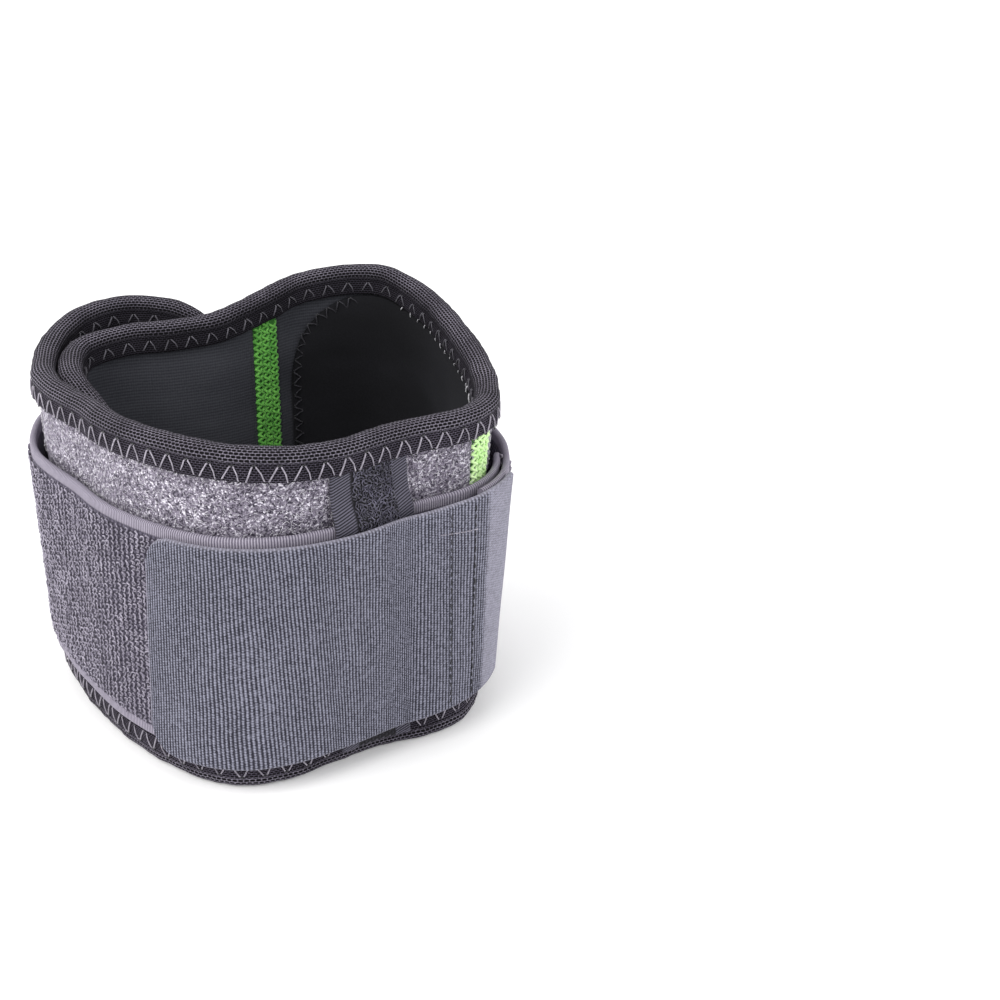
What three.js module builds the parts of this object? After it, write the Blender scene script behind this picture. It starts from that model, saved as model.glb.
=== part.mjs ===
// A tennis elbow strap, fastened and standing on its lower edge as it does on a table.
// Millimetres, +Z up. The origin is on the surface that it stands on, under the middle of the
// rolled band, and -Y is the side where the hook tail closes over the strap.
// The padded band is one long strip of three panels, rolled up so that its two ends lap at the
// left. A tape runs round the band: it starts at the right front, goes under a keeper, round
// the left and the back, and comes to the front again, where its hook tail is pressed on.
import * as THREE from "three";

// Main sizes
const REACH = 53;            // shares in the tables are of this distance from the middle
const HEIGHT = 85;           // about the band's height at the back, where its share is near 1
const CLEAR = 0.3;           // gap that touching pieces keep

// Padded band
const CLOTH = 1.4;           // outer cloth with its foam
const LINING = 1.0;
const PAD = 2.0;             // cushion inside the middle panel, at its thickest
const PAD_EDGE = 0.9;        // the same cushion at its sewn edge
const SEAM_WIDTH = 7;        // flat seam between two panels
const CORNER = 15;           // round corners of the strip's two ends
const PAD_CORNER = 20;

// Folded edge binding
const BINDING = 0.8;         // one wall of the folded tape
const ROLL = 2.7;            // half thickness of the soft roll at the very edge
const FLAP = 6.8;            // from the edge to the sewn rim of each flap
const TREAD = 1.1;           // half width of the flat on which the roll rests
const CURL_HEIGHT = 12;      // height of the stretch that curls outwards at the right

// Tapes
const TAPE_WIDTH = 50;
const TAPE = 1.5;
const KEEPER_WIDTH = 19;
const KEEPER = 0.9;
const TAIL_CORNER = 6.5;
const LAP = 9;               // the tail's start covers the strap's end by this much

// The meshes' columns along their paths: never further apart, nor more degrees of bend apart
const STEP = 5;
const BEND = 13;
const CORNER_STEPS = 5;      // flats in each round corner

// The band's middle surface, from its inner end to its outer end. Turn is in degrees seen from
// above, from the front to the left and on. Rim and foot are shares of REACH at the upper and
// lower edge, top is the share of HEIGHT that the edge reaches.
const BAND = [
  { turn: 38, rim: 0.654, foot: 0.688, top: 0.79 },
  { turn: 47, rim: 0.648, foot: 0.664, top: 0.795 },
  { turn: 57, rim: 0.644, foot: 0.648, top: 0.8 },
  { turn: 70, rim: 0.642, foot: 0.656, top: 0.815 },
  { turn: 80, rim: 0.684, foot: 0.676, top: 0.845 },
  { turn: 90, rim: 0.75, foot: 0.714, top: 0.88 },
  { turn: 98, rim: 0.808, foot: 0.766, top: 0.897 },
  { turn: 105, rim: 0.844, foot: 0.804, top: 0.905 },
  { turn: 112, rim: 0.876, foot: 0.826, top: 0.91 },
  { turn: 118, rim: 0.886, foot: 0.844, top: 0.917 },
  { turn: 124, rim: 0.846, foot: 0.82, top: 0.925 },
  { turn: 132, rim: 0.762, foot: 0.752, top: 0.935 },
  { turn: 140, rim: 0.672, foot: 0.68, top: 0.938 },
  { turn: 150, rim: 0.626, foot: 0.636, top: 0.94 },
  { turn: 161, rim: 0.614, foot: 0.624, top: 0.945 },
  { turn: 172, rim: 0.652, foot: 0.652, top: 0.96 },
  { turn: 181, rim: 0.736, foot: 0.72, top: 0.972 },
  { turn: 190, rim: 0.872, foot: 0.83, top: 0.99 },
  { turn: 199, rim: 0.946, foot: 0.9, top: 1.004 },
  { turn: 207, rim: 1.018, foot: 0.966, top: 1.008 },
  { turn: 214, rim: 1.054, foot: 0.996, top: 1.004 },
  { turn: 222, rim: 1.035, foot: 0.992, top: 0.985 },
  { turn: 232, rim: 0.99, foot: 0.952, top: 0.963 },
  { turn: 248, rim: 0.925, foot: 0.892, top: 0.938 },
  { turn: 266, rim: 0.92, foot: 0.83, top: 0.91 },
  { turn: 276, rim: 0.936, foot: 0.83, top: 0.895 },
  { turn: 285, rim: 0.956, foot: 0.83, top: 0.888 },
  { turn: 292, rim: 0.972, foot: 0.835, top: 0.885 },
  { turn: 299, rim: 0.96, foot: 0.846, top: 0.885 },
  { turn: 306, rim: 0.926, foot: 0.846, top: 0.887 },
  { turn: 315, rim: 0.856, foot: 0.815, top: 0.888 },
  { turn: 326, rim: 0.822, foot: 0.77, top: 0.888 },
  { turn: 339, rim: 0.852, foot: 0.784, top: 0.889 },
  { turn: 349, rim: 0.872, foot: 0.832, top: 0.891 },
  { turn: 358, rim: 0.878, foot: 0.9, top: 0.895 },
  { turn: 369, rim: 0.856, foot: 0.948, top: 0.898 },
  { turn: 379, rim: 0.824, foot: 0.92, top: 0.9 },
  { turn: 392, rim: 0.784, foot: 0.852, top: 0.9 },
  { turn: 407, rim: 0.762, foot: 0.8, top: 0.9 },
  { turn: 417, rim: 0.754, foot: 0.78, top: 0.9 },
  { turn: 430, rim: 0.758, foot: 0.78, top: 0.9 },
  { turn: 440, rim: 0.804, foot: 0.804, top: 0.9 },
  { turn: 450, rim: 0.876, foot: 0.838, top: 0.902 },
  { turn: 458, rim: 0.928, foot: 0.888, top: 0.905 },
  { turn: 465, rim: 0.96, foot: 0.92, top: 0.908 },
  { turn: 472, rim: 0.998, foot: 0.95, top: 0.915 },
  { turn: 478, rim: 1.028, foot: 0.976, top: 0.925 },
  { turn: 484, rim: 1.05, foot: 0.996, top: 0.935 },
  { turn: 490, rim: 1.06, foot: 1.004, top: 0.948 },
  { turn: 497, rim: 1.048, foot: 0.992, top: 0.956 },
  { turn: 503, rim: 1.008, foot: 0.96, top: 0.958 },
  { turn: 508, rim: 0.946, foot: 0.91, top: 0.956 },
  { turn: 513, rim: 0.872, foot: 0.848, top: 0.95 },
  { turn: 518, rim: 0.816, foot: 0.804, top: 0.94 },
  { turn: 524, rim: 0.782, foot: 0.774, top: 0.93 },
  { turn: 531, rim: 0.784, foot: 0.776, top: 0.92 },
];

// Where the lower edge curls out from under the tape, as a share of REACH at the very edge. The
// curl starts at CURL_HEIGHT.
const CURL = [
  { turn: 262, out: 0 },
  { turn: 278, out: 0.02 },
  { turn: 292, out: 0.052 },
  { turn: 306, out: 0.066 },
  { turn: 320, out: 0.052 },
  { turn: 336, out: 0.02 },
  { turn: 352, out: 0 },
  { turn: 640, out: 0 },
];

// Where the panels meet and where the cushion starts and ends, as turns on the band
const BACK_SEAM = 180;
const FRONT_SEAM = 296.5;
const PAD_START = 187.5;
const PAD_END = 290;

// The tape's way round, as turns. Up to LEAVE it hugs the band's outer layer. There it spans
// straight to the band's back over the outer end, and from REJOIN it follows the single layer.
const STRAP_START = 283;
const LEAVE = 498;
const REJOIN = 570;
const TAIL_START = 654;
const TAIL_END = 751;
const HUG_STEP = 6;

// The free span at the back: reach of the tape's lower and upper edge as shares of REACH
const BACK_SPAN = [
  { turn: 510, low: 0.96, high: 0.99 },
  { turn: 526, low: 0.93, high: 0.95 },
  { turn: 542, low: 0.94, high: 0.96 },
  { turn: 556, low: 0.965, high: 0.99 },
];

// How far the tape stands off the band, lower and upper edge, as shares of the tape's
// thickness. At the right it stands off its own start, and at the front it crosses the keeper.
const STAND_OFF = [
  { turn: 283, low: 0, high: 0 },
  { turn: 440, low: 0, high: 0 },
  { turn: 470, low: 0.3, high: 0.7 },
  { turn: 498, low: 0.3, high: 0.7 },
  { turn: 570, low: 0.3, high: 0.3 },
  { turn: 620, low: 0.6, high: 0.6 },
  { turn: 636, low: 1.25, high: 1.3 },
  { turn: 648, low: 1.35, high: 1.45 },
  { turn: 662, low: 1.35, high: 1.9 },
  { turn: 676, low: 1.5, high: 2.3 },
  { turn: 690, low: 1.2, high: 1.5 },
  { turn: 704, low: 1, high: 1 },
  { turn: 713, low: 0.5, high: 0.5 },
  { turn: 724, low: 0.1, high: 0.1 },
  { turn: 751, low: 0.05, high: 0.05 },
];

// Height of the tape's lower edge over the ground as shares of its width
const LIFT = [
  { turn: 283, share: 0.17 },
  { turn: 320, share: 0.162 },
  { turn: 360, share: 0.157 },
  { turn: 400, share: 0.152 },
  { turn: 450, share: 0.165 },
  { turn: 500, share: 0.18 },
  { turn: 620, share: 0.176 },
  { turn: 650, share: 0.17 },
  { turn: 665, share: 0.166 },
  { turn: 680, share: 0.149 },
  { turn: 700, share: 0.134 },
  { turn: 720, share: 0.126 },
  { turn: 751, share: 0.123 },
];

const KEEPER_TURN = 333;     // the middle of the keeper's width

// Offsets from the middle surface, worked out from the sizes above
const halfBody = (CLOTH + CLEAR + LINING) / 2;
const flapInner = halfBody + CLEAR;
const flapOuter = flapInner + BINDING;
const strapInner = flapOuter + CLEAR;
const strapOuter = strapInner + TAPE;
const tailInner = strapOuter + CLEAR;
const keeperInner = strapOuter + CLEAR;
const keeperFoot = ROLL + CLEAR;
const edgeInset = BINDING + CLEAR;

// Turn in degrees and reach in mm, to a point in plan
function polar(turn, reach, z) {
  const angle = THREE.MathUtils.degToRad(turn);
  return new THREE.Vector3(-Math.sin(angle) * reach, -Math.cos(angle) * reach, z);
}

// Where a turn lies along a table, from 0 at its first row to 1 at its last
function shareAlong(table, turn) {
  const last = table.length - 1;
  if (turn <= table[0].turn) return 0;
  if (turn >= table[last].turn) return 1;
  const row = table.findIndex((entry) => entry.turn > turn);
  const before = table[row - 1].turn;
  return (row - 1 + (turn - before) / (table[row].turn - before)) / last;
}

// A value of one column, smoothly between the rows
function column(table, name, turn) {
  const last = table.length - 1;
  const place = shareAlong(table, turn) * last;
  const row = Math.min(Math.floor(place), last - 1);
  const at = (i) => table[THREE.MathUtils.clamp(i, 0, last)][name];
  const t = place - row;
  const slopeA = (at(row + 1) - at(row - 1)) / 2;
  const slopeB = (at(row + 2) - at(row)) / 2;
  const h = t * t * (3 - 2 * t);
  const rise = t * (1 - t) * ((1 - t) * slopeA - t * slopeB);
  return at(row) * (1 - h) + at(row + 1) * h + rise;
}

const footCurve = new THREE.CatmullRomCurve3(BAND.map((row) => polar(row.turn, row.foot * REACH, 0)));
const rimCurve = new THREE.CatmullRomCurve3(BAND.map((row) => polar(row.turn, row.rim * REACH, 0)));

// Height of the band's upper edge at a turn
function topAt(turn) {
  return column(BAND, "top", turn) * HEIGHT;
}

// Point between two curves in plan, at a share of both, moved outwards along the plan normal
function ruled(low, high, along, rise, out, z) {
  const step = 0.002;
  const at = (t) => low.getPoint(t).lerp(high.getPoint(t), rise);
  const point = at(along);
  const tangent = at(Math.min(1, along + step)).sub(at(Math.max(0, along - step))).normalize();
  return new THREE.Vector3(point.x - tangent.y * out, point.y + tangent.x * out, z);
}

// A point on the band: turn, height and offset from its middle surface, outwards positive
function onBand(turn, z, out) {
  const curl = column(CURL, "out", turn) * REACH * Math.max(0, 1 - z / CURL_HEIGHT);
  return ruled(footCurve, rimCurve, shareAlong(BAND, turn), z / topAt(turn), out + curl, z);
}

// Lengths along a path, measured in small steps of the turn
function ruler(from, to, pointAt) {
  const marks = [{ turn: from, length: 0 }];
  let last = pointAt(from);
  for (let turn = from + 1; turn < to + 1; turn += 1) {
    const point = pointAt(Math.min(turn, to));
    const length = marks[marks.length - 1].length + point.distanceTo(last);
    marks.push({ turn: Math.min(turn, to), length });
    last = point;
  }
  const find = (key, other, value) => {
    const i = Math.max(1, marks.findIndex((mark) => mark[key] >= value));
    const a = marks[i - 1];
    const b = marks[i];
    return a[other] + ((value - a[key]) / (b[key] - a[key])) * (b[other] - a[other]);
  };
  const total = marks[marks.length - 1].length;
  return {
    total,
    lengthAt: (turn) => find("turn", "length", turn),
    turnAt: (length) => find("length", "turn", THREE.MathUtils.clamp(length, 0.001, total - 0.001)),
  };
}

const bandStart = BAND[0].turn;
const bandEnd = BAND[BAND.length - 1].turn;
const bandRuler = ruler(bandStart, bandEnd, (turn) => onBand(turn, HEIGHT / 2, 0));

// Equal steps between two lengths
function stations(from, to, step) {
  const count = Math.max(1, Math.round((to - from) / step));
  return Array.from({ length: count + 1 }, (_, i) => from + ((to - from) * i) / count);
}

// Lengths along a path that are closer together where it bends
function columnsAlong(path, pointAt) {
  const list = [];
  const fine = stations(0, path.total, 1);
  const points = fine.map((length) => pointAt(path.turnAt(length)));
  let since = 0;
  let bent = 0;
  for (let i = 1; i < fine.length - 1; i += 1) {
    const before = points[i].clone().sub(points[i - 1]);
    const after = points[i + 1].clone().sub(points[i]);
    since += before.length();
    bent += THREE.MathUtils.radToDeg(before.angleTo(after));
    if (since >= STEP || bent >= BEND) {
      list.push(fine[i]);
      since = 0;
      bent = 0;
    }
  }
  return list;
}

const bandColumns = columnsAlong(bandRuler, (turn) => onBand(turn, HEIGHT / 2, 0));

// Angles of the flats in a quarter turn
const quarter = Array.from({ length: CORNER_STEPS + 1 }, (_, i) => ((i / CORNER_STEPS) * Math.PI) / 2);

// The columns of a piece from one length to another. Within a round corner they are its own.
function spaced(columns, from, to, radius, roundStart, roundEnd) {
  const ease = quarter.map((angle) => 1 - Math.sin(angle)).reverse();
  const head = roundStart ? ease.map((share) => from + radius * share) : [from];
  const tail = roundEnd ? ease.map((share) => to - radius * share).reverse() : [to];
  const near = STEP / 4;
  const middle = columns.filter((at) => at > head[head.length - 1] + near && at < tail[0] - near);
  return [...head, ...middle, ...tail];
}

// How much a round corner takes off an edge at a distance from the end
function cornerDrop(distance, radius) {
  if (distance >= radius) return 0;
  return radius - Math.sqrt(radius * radius - (radius - distance) ** 2);
}

// A closed body through rings of points. The rings are alike, and figure is the ring drawn
// flat, which closes the two ends. A loop of rings has no ends.
function loft(rings, figure, loop = false) {
  const sides = rings[0].length;
  const index = [];
  const joins = loop ? rings.length : rings.length - 1;
  for (let i = 0; i < joins; i += 1) {
    for (let j = 0; j < sides; j += 1) {
      const a = i * sides + j;
      const b = i * sides + ((j + 1) % sides);
      const next = (((i + 1) % rings.length) - i) * sides;
      // Both broad sides are split along the same diagonal, so that layers stay parallel
      if (j < sides / 2) index.push(a, b, b + next, a, b + next, a + next);
      else index.push(a, b, a + next, b, b + next, a + next);
    }
  }
  if (!loop) {
    const end = (rings.length - 1) * sides;
    for (const [a, b, c] of THREE.ShapeUtils.triangulateShape(figure, [])) {
      index.push(a, c, b, end + a, end + b, end + c);
    }
  }
  const points = rings.flat();
  let volume = 0;
  for (let i = 0; i < index.length; i += 3) {
    const [a, b, c] = [points[index[i]], points[index[i + 1]], points[index[i + 2]]];
    volume += a.dot(new THREE.Vector3().crossVectors(b, c));
  }
  if (volume < 0) index.reverse();
  const geometry = new THREE.BufferGeometry();
  const numbers = points.flatMap((point) => [point.x, point.y, point.z]);
  geometry.setAttribute("position", new THREE.Float32BufferAttribute(numbers, 3));
  geometry.setIndex(index);
  return geometry;
}

const outline = (pairs) => pairs.map(([x, y]) => new THREE.Vector2(x, y));
const PLATE = outline([[0, 0], [1, 0], [1, 1], [0, 1]]);
const BENT_PLATE = outline([[0, 0], [1, 0], [2, 0], [2, 1], [1, 1], [0, 1]]);

// A layer of the band between two lengths along it, from one offset to another. Its edges stay
// inside the folded binding, and follow the strip's round corners.
function bandLayer(from, to, inner, outer) {
  const first = edgeInset;
  const last = bandRuler.total - edgeInset;
  const radius = CORNER - edgeInset;
  const roundStart = from <= first;
  const roundEnd = to >= last;
  const start = Math.max(from, first);
  const end = Math.min(to, last);
  const rings = spaced(bandColumns, start, end, radius, roundStart, roundEnd).map((length) => {
    const turn = bandRuler.turnAt(length);
    const drop = cornerDrop(length - first, radius) + cornerDrop(last - length, radius);
    const low = edgeInset + drop;
    const high = topAt(turn) - edgeInset - drop;
    const bend = Math.max(CURL_HEIGHT, low + STEP / 2);
    return [
      onBand(turn, low, inner),
      onBand(turn, bend, inner),
      onBand(turn, high, inner),
      onBand(turn, high, outer),
      onBand(turn, bend, outer),
      onBand(turn, low, outer),
    ];
  });
  return loft(rings, BENT_PLATE);
}

// The cushion inside the middle panel: flat on the lining, crowned towards the arm
function pad() {
  const from = bandRuler.lengthAt(PAD_START);
  const to = bandRuler.lengthAt(PAD_END);
  const back = -halfBody - CLEAR;
  const rings = spaced(bandColumns, from, to, PAD_CORNER, true, true).map((length) => {
    const turn = bandRuler.turnAt(length);
    const nearest = Math.min(length - from, to - length);
    const drop = cornerDrop(nearest, PAD_CORNER);
    const low = FLAP + CLEAR + drop;
    const high = topAt(turn) - FLAP - CLEAR - drop;
    const crown = PAD_EDGE + (PAD - PAD_EDGE) * Math.min(1, nearest / PAD_CORNER);
    const between = (share) => low + (high - low) * share;
    return [
      onBand(turn, low, back),
      onBand(turn, high, back),
      onBand(turn, high, back - PAD_EDGE),
      onBand(turn, between(0.75), back - crown),
      onBand(turn, between(0.25), back - crown),
      onBand(turn, low, back - PAD_EDGE),
    ];
  });
  return loft(rings, outline([[0, 0], [1, 0], [1, 1], [0.75, 2], [0.25, 2], [0, 1]]));
}

// The folded tape round the whole strip: along the foot, up the outer end, back along the rim
// and down the inner end. Its section is a U that opens towards the middle of the strip.
function binding() {
  const section = [
    [FLAP, flapOuter],
    [ROLL * 1.9, flapOuter],
    [ROLL * 0.9, ROLL],
    [ROLL * 0.3, ROLL * 0.8],
    [0, TREAD],
    [0, -TREAD],
    [ROLL * 0.3, -ROLL * 0.8],
    [ROLL * 0.9, -ROLL],
    [ROLL * 1.9, -flapOuter],
    [FLAP, -flapOuter],
    [FLAP, -flapInner],
    [FLAP / 2, -flapInner],
    [BINDING, -flapInner],
    [BINDING, flapInner],
    [FLAP / 2, flapInner],
    [FLAP, flapInner],
  ];
  const total = bandRuler.total;
  const path = [];
  // Each entry: length along the strip, distance from the foot or below the rim, and the
  // direction into the strip, along it and upwards
  const edge = (length, rise, fromTop, along, up) => path.push({ length, rise, fromTop, along, up });
  const arc = quarter.slice(1, -1);
  const straight = spaced(bandColumns, CORNER, total - CORNER, 0, false, false);
  for (const length of straight) edge(length, 0, false, 0, 1);
  for (const a of arc) {
    edge(total - CORNER * (1 - Math.sin(a)), CORNER * (1 - Math.cos(a)), false, -Math.sin(a), Math.cos(a));
  }
  const endTop = topAt(bandEnd);
  for (const z of stations(CORNER, endTop - CORNER, STEP * 2)) edge(total, z, false, -1, 0);
  for (const a of arc) {
    edge(total - CORNER * (1 - Math.cos(a)), -CORNER * (1 - Math.sin(a)), true, -Math.cos(a), -Math.sin(a));
  }
  for (const length of [...straight].reverse()) edge(length, 0, true, 0, -1);
  for (const a of arc) {
    edge(CORNER * (1 - Math.sin(a)), -CORNER * (1 - Math.cos(a)), true, Math.sin(a), -Math.cos(a));
  }
  const startTop = topAt(bandStart);
  for (const z of stations(CORNER, startTop - CORNER, STEP * 2).reverse()) edge(0, z, false, 1, 0);
  for (const a of arc) {
    edge(CORNER * (1 - Math.cos(a)), CORNER * (1 - Math.sin(a)), false, Math.cos(a), Math.sin(a));
  }
  const rings = path.map(({ length, rise, fromTop, along, up }) => section.map(([inward, out]) => {
    const turn = bandRuler.turnAt(length + inward * along);
    const level = (fromTop ? topAt(turn) : 0) + rise + inward * up;
    return onBand(turn, level, out);
  }));
  return loft(rings, null, true);
}

// The tape's guide: two curves that stand for the band's middle surface under its lower and
// upper edge
function liftAt(turn) {
  return column(LIFT, "share", turn) * TAPE_WIDTH;
}

function hugging(turn, bandTurn) {
  const low = liftAt(turn);
  return {
    turn,
    low: onBand(bandTurn, low, column(STAND_OFF, "low", turn) * TAPE),
    high: onBand(bandTurn, low + TAPE_WIDTH, column(STAND_OFF, "high", turn) * TAPE),
  };
}

const guide = [
  ...stations(STRAP_START, LEAVE, HUG_STEP).map((turn) => hugging(turn, turn)),
  ...BACK_SPAN.map(({ turn, low, high }) => ({
    turn,
    low: polar(turn, low * REACH, 0),
    high: polar(turn, high * REACH, 0),
  })),
  ...stations(REJOIN, TAIL_END, HUG_STEP).map((turn) => hugging(turn, turn - 360)),
];
const flat = (point) => new THREE.Vector3(point.x, point.y, 0);
const guideLow = new THREE.CatmullRomCurve3(guide.map((row) => flat(row.low)));
const guideHigh = new THREE.CatmullRomCurve3(guide.map((row) => flat(row.high)));

// A point on the tape: turn, distance up from its lower edge, offset from its guide
function onTape(turn, up, out) {
  return ruled(guideLow, guideHigh, shareAlong(guide, turn), up / TAPE_WIDTH, out, liftAt(turn) + up);
}

const tapeRuler = ruler(STRAP_START, TAIL_END, (turn) => onTape(turn, TAPE_WIDTH / 2, 0));
const tapeColumns = columnsAlong(tapeRuler, (turn) => onTape(turn, TAPE_WIDTH / 2, 0));

// A length of tape between two lengths along the guide, with round corners at its free end
function tape(from, to, inner, corner) {
  const list = spaced(tapeColumns, from, to, corner, false, corner > 0);
  const rings = list.map((length) => {
    const turn = tapeRuler.turnAt(length);
    const drop = cornerDrop(to - length, corner);
    return [
      onTape(turn, drop, inner),
      onTape(turn, TAPE_WIDTH - drop, inner),
      onTape(turn, TAPE_WIDTH - drop, inner + TAPE),
      onTape(turn, drop, inner + TAPE),
    ];
  });
  return loft(rings, PLATE);
}

// The keeper: sewn on below the upper flap and on the lower flap, and open for the strap
function keeper() {
  const middle = bandRuler.lengthAt(KEEPER_TURN);
  const turns = stations(middle - KEEPER_WIDTH / 2, middle + KEEPER_WIDTH / 2, KEEPER_WIDTH / 5)
    .map((length) => bandRuler.turnAt(length));
  const low = liftAt(KEEPER_TURN);
  const high = low + TAPE_WIDTH;
  const upperEnd = topAt(KEEPER_TURN) - FLAP - CLEAR;
  const lowerEnd = low / 3;
  const step = CLEAR + KEEPER;
  const section = [
    [lowerEnd, keeperFoot],
    [low - step, keeperFoot],
    [low - CLEAR, keeperInner],
    [high + CLEAR, keeperInner],
    [high + 2 * step, flapInner],
    [upperEnd, flapInner],
    [upperEnd, flapInner + KEEPER],
    [high + 2 * step + KEEPER / 2, flapInner + KEEPER],
    [high + CLEAR + KEEPER / 2, keeperInner + KEEPER],
    [low - CLEAR - KEEPER / 2, keeperInner + KEEPER],
    [low - 2 * CLEAR - KEEPER * 1.5, keeperFoot + KEEPER],
    [lowerEnd, keeperFoot + KEEPER],
  ];
  const rings = turns.map((turn) => section.map(([z, out]) => onBand(turn, z, out)));
  return loft(rings, outline(section));
}

const looks = {
  cloth: new THREE.MeshStandardMaterial({ color: 0x8d8797, roughness: 0.9, metalness: 0 }),
  lining: new THREE.MeshStandardMaterial({ color: 0x3c3d41, roughness: 0.95, metalness: 0 }),
  pad: new THREE.MeshStandardMaterial({ color: 0x1b1b1e, roughness: 0.9, metalness: 0 }),
  binding: new THREE.MeshStandardMaterial({ color: 0x4d4853, roughness: 0.85, metalness: 0 }),
  seam: new THREE.MeshStandardMaterial({ color: 0x7fd63f, roughness: 0.7, metalness: 0 }),
  strap: new THREE.MeshStandardMaterial({ color: 0x75707f, roughness: 0.9, metalness: 0 }),
  tail: new THREE.MeshStandardMaterial({ color: 0x6b6b7c, roughness: 0.8, metalness: 0 }),
};

const strapModel = new THREE.Group();
function add(name, geometry, material) {
  const piece = new THREE.Mesh(geometry, material);
  piece.name = name;
  strapModel.add(piece);
}

// Panels and linings lie between the two seams and the strip's two ends
const backSeam = bandRuler.lengthAt(BACK_SEAM);
const frontSeam = bandRuler.lengthAt(FRONT_SEAM);
const besideSeam = SEAM_WIDTH / 2 + CLEAR;
const panels = [
  { name: "inner_end", from: 0, to: backSeam - besideSeam },
  { name: "middle", from: backSeam + besideSeam, to: frontSeam - besideSeam },
  { name: "outer_end", from: frontSeam + besideSeam, to: bandRuler.total },
];
for (const { name, from, to } of panels) {
  add(`panel_${name}`, bandLayer(from, to, halfBody - CLOTH, halfBody), looks.cloth);
  add(`lining_${name}`, bandLayer(from, to, -halfBody, LINING - halfBody), looks.lining);
}
for (const [name, middle] of [["seam_back", backSeam], ["seam_front", frontSeam]]) {
  const half = SEAM_WIDTH / 2;
  add(name, bandLayer(middle - half, middle + half, -halfBody, halfBody), looks.seam);
}
add("elbow_pad", pad(), looks.pad);
add("edge_binding", binding(), looks.binding);

const tailStart = tapeRuler.lengthAt(TAIL_START);
add("loop_strap", tape(0, tailStart + LAP, strapInner, 0), looks.strap);
add("keeper_loop", keeper(), looks.strap);
add("hook_tail", tape(tailStart, tapeRuler.total, tailInner, TAIL_CORNER), looks.tail);

export default strapModel;
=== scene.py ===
# %% [markdown]
# # A tennis elbow strap in Blender
# The strap is a padded band of cloth, rolled up with one lap, bound all round with a soft knitted
# tape and closed by a wide loop tape with a hook tail. It stands on its lower edge. Everything here
# is in metres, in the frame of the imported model, so a piece is made in its place from the start.

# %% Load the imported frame
import math

import bmesh
import bpy
import numpy as np
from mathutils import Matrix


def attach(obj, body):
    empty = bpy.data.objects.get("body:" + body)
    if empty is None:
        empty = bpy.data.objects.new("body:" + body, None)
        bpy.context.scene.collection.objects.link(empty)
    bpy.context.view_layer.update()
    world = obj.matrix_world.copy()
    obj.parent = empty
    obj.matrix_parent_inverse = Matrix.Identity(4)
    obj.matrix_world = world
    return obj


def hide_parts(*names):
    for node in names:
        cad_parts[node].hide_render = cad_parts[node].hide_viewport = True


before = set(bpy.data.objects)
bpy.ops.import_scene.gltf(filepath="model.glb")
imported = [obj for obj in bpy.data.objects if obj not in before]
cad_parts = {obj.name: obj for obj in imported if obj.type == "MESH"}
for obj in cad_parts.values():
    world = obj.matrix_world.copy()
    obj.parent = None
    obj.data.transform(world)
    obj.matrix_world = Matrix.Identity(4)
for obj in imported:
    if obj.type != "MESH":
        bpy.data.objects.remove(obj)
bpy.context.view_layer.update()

# %% [markdown]
# ## Camera, floor and light
# The camera comes first, because every later choice of detail depends on how near it looks. It
# stands 456 mm from the strap, 24 degrees up. A big soft light from the upper left, a weak one from
# the right and a bright sky give the even light of a product picture.

# %% Camera and studio
MM = 0.001

camera = bpy.data.objects.new("camera", bpy.data.cameras.new("camera"))
camera.data.sensor_width = 36
camera.data.lens = 70.6
camera.location = (0, -416.6 * MM, 222.6 * MM)
camera.rotation_euler = (math.radians(66.703), 0, math.radians(-7.293))
bpy.context.collection.objects.link(camera)
bpy.context.scene.camera = camera
bpy.context.scene.view_settings.view_transform = "Standard"


def soft_light(name, place, target, width, power, colour):
    """A square area light that looks at a point."""
    light = bpy.data.objects.new(name, bpy.data.lights.new(name, "AREA"))
    light.data.size = width
    light.data.energy = power
    light.data.color = colour
    light.location = place
    away = np.array(place) - np.array(target)
    light.rotation_euler = (
        math.atan2(math.hypot(away[0], away[1]), away[2]),
        0,
        math.atan2(away[1], away[0]) + math.pi / 2,
    )
    bpy.context.collection.objects.link(light)
    return light


MIDDLE = (0, 0, 0.04)
soft_light("key", (-0.62, -0.5, 0.75), MIDDLE, 0.9, 8.0, (1.0, 0.99, 0.98))
soft_light("fill", (0.7, -0.75, 0.45), MIDDLE, 0.8, 3.2, (0.96, 0.97, 1.0))
soft_light("left_rim", (-0.95, 0.2, 0.3), MIDDLE, 0.6, 3.4, (1.0, 1.0, 1.0))
soft_light("right_rim", (0.95, 0.1, 0.3), MIDDLE, 0.6, 2.0, (1.0, 1.0, 1.0))
soft_light("back", (-0.1, 0.75, 0.65), MIDDLE, 1.1, 3.0, (1.0, 1.0, 1.0))

world = bpy.data.worlds.new("studio")
bpy.context.scene.world = world
world.use_nodes = True
world.node_tree.nodes["Background"].inputs["Color"].default_value = (1, 1, 1, 1)
world.node_tree.nodes["Background"].inputs["Strength"].default_value = 0.8

# %% [markdown]
# ## Sizes
# The sizes are those of the model's source. A table holds shares of a named size, a row for each
# section. `turn` is in degrees seen from above: 0 is the front, 90 the left, 180 the back, 270 the
# right. The band is longer than one turn, so its turns run on past 360.

# %% Sizes and tables
REACH = 53 * MM
HEIGHT = 85 * MM
CLEAR = 0.3 * MM
CLOTH = 1.4 * MM
LINING = 1.0 * MM
PAD = 2.0 * MM
PAD_EDGE = 0.9 * MM
SEAM_WIDTH = 7 * MM
CORNER = 15 * MM
PAD_CORNER = 20 * MM
BINDING = 0.8 * MM
ROLL = 2.7 * MM
FLAP = 6.8 * MM
CURL_HEIGHT = 12 * MM
TAPE_WIDTH = 50 * MM
TAPE = 1.5 * MM
KEEPER_WIDTH = 19 * MM
KEEPER = 0.9 * MM
TAIL_CORNER = 6.5 * MM
RIB = 0.68 * MM
LAP = 9 * MM

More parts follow.
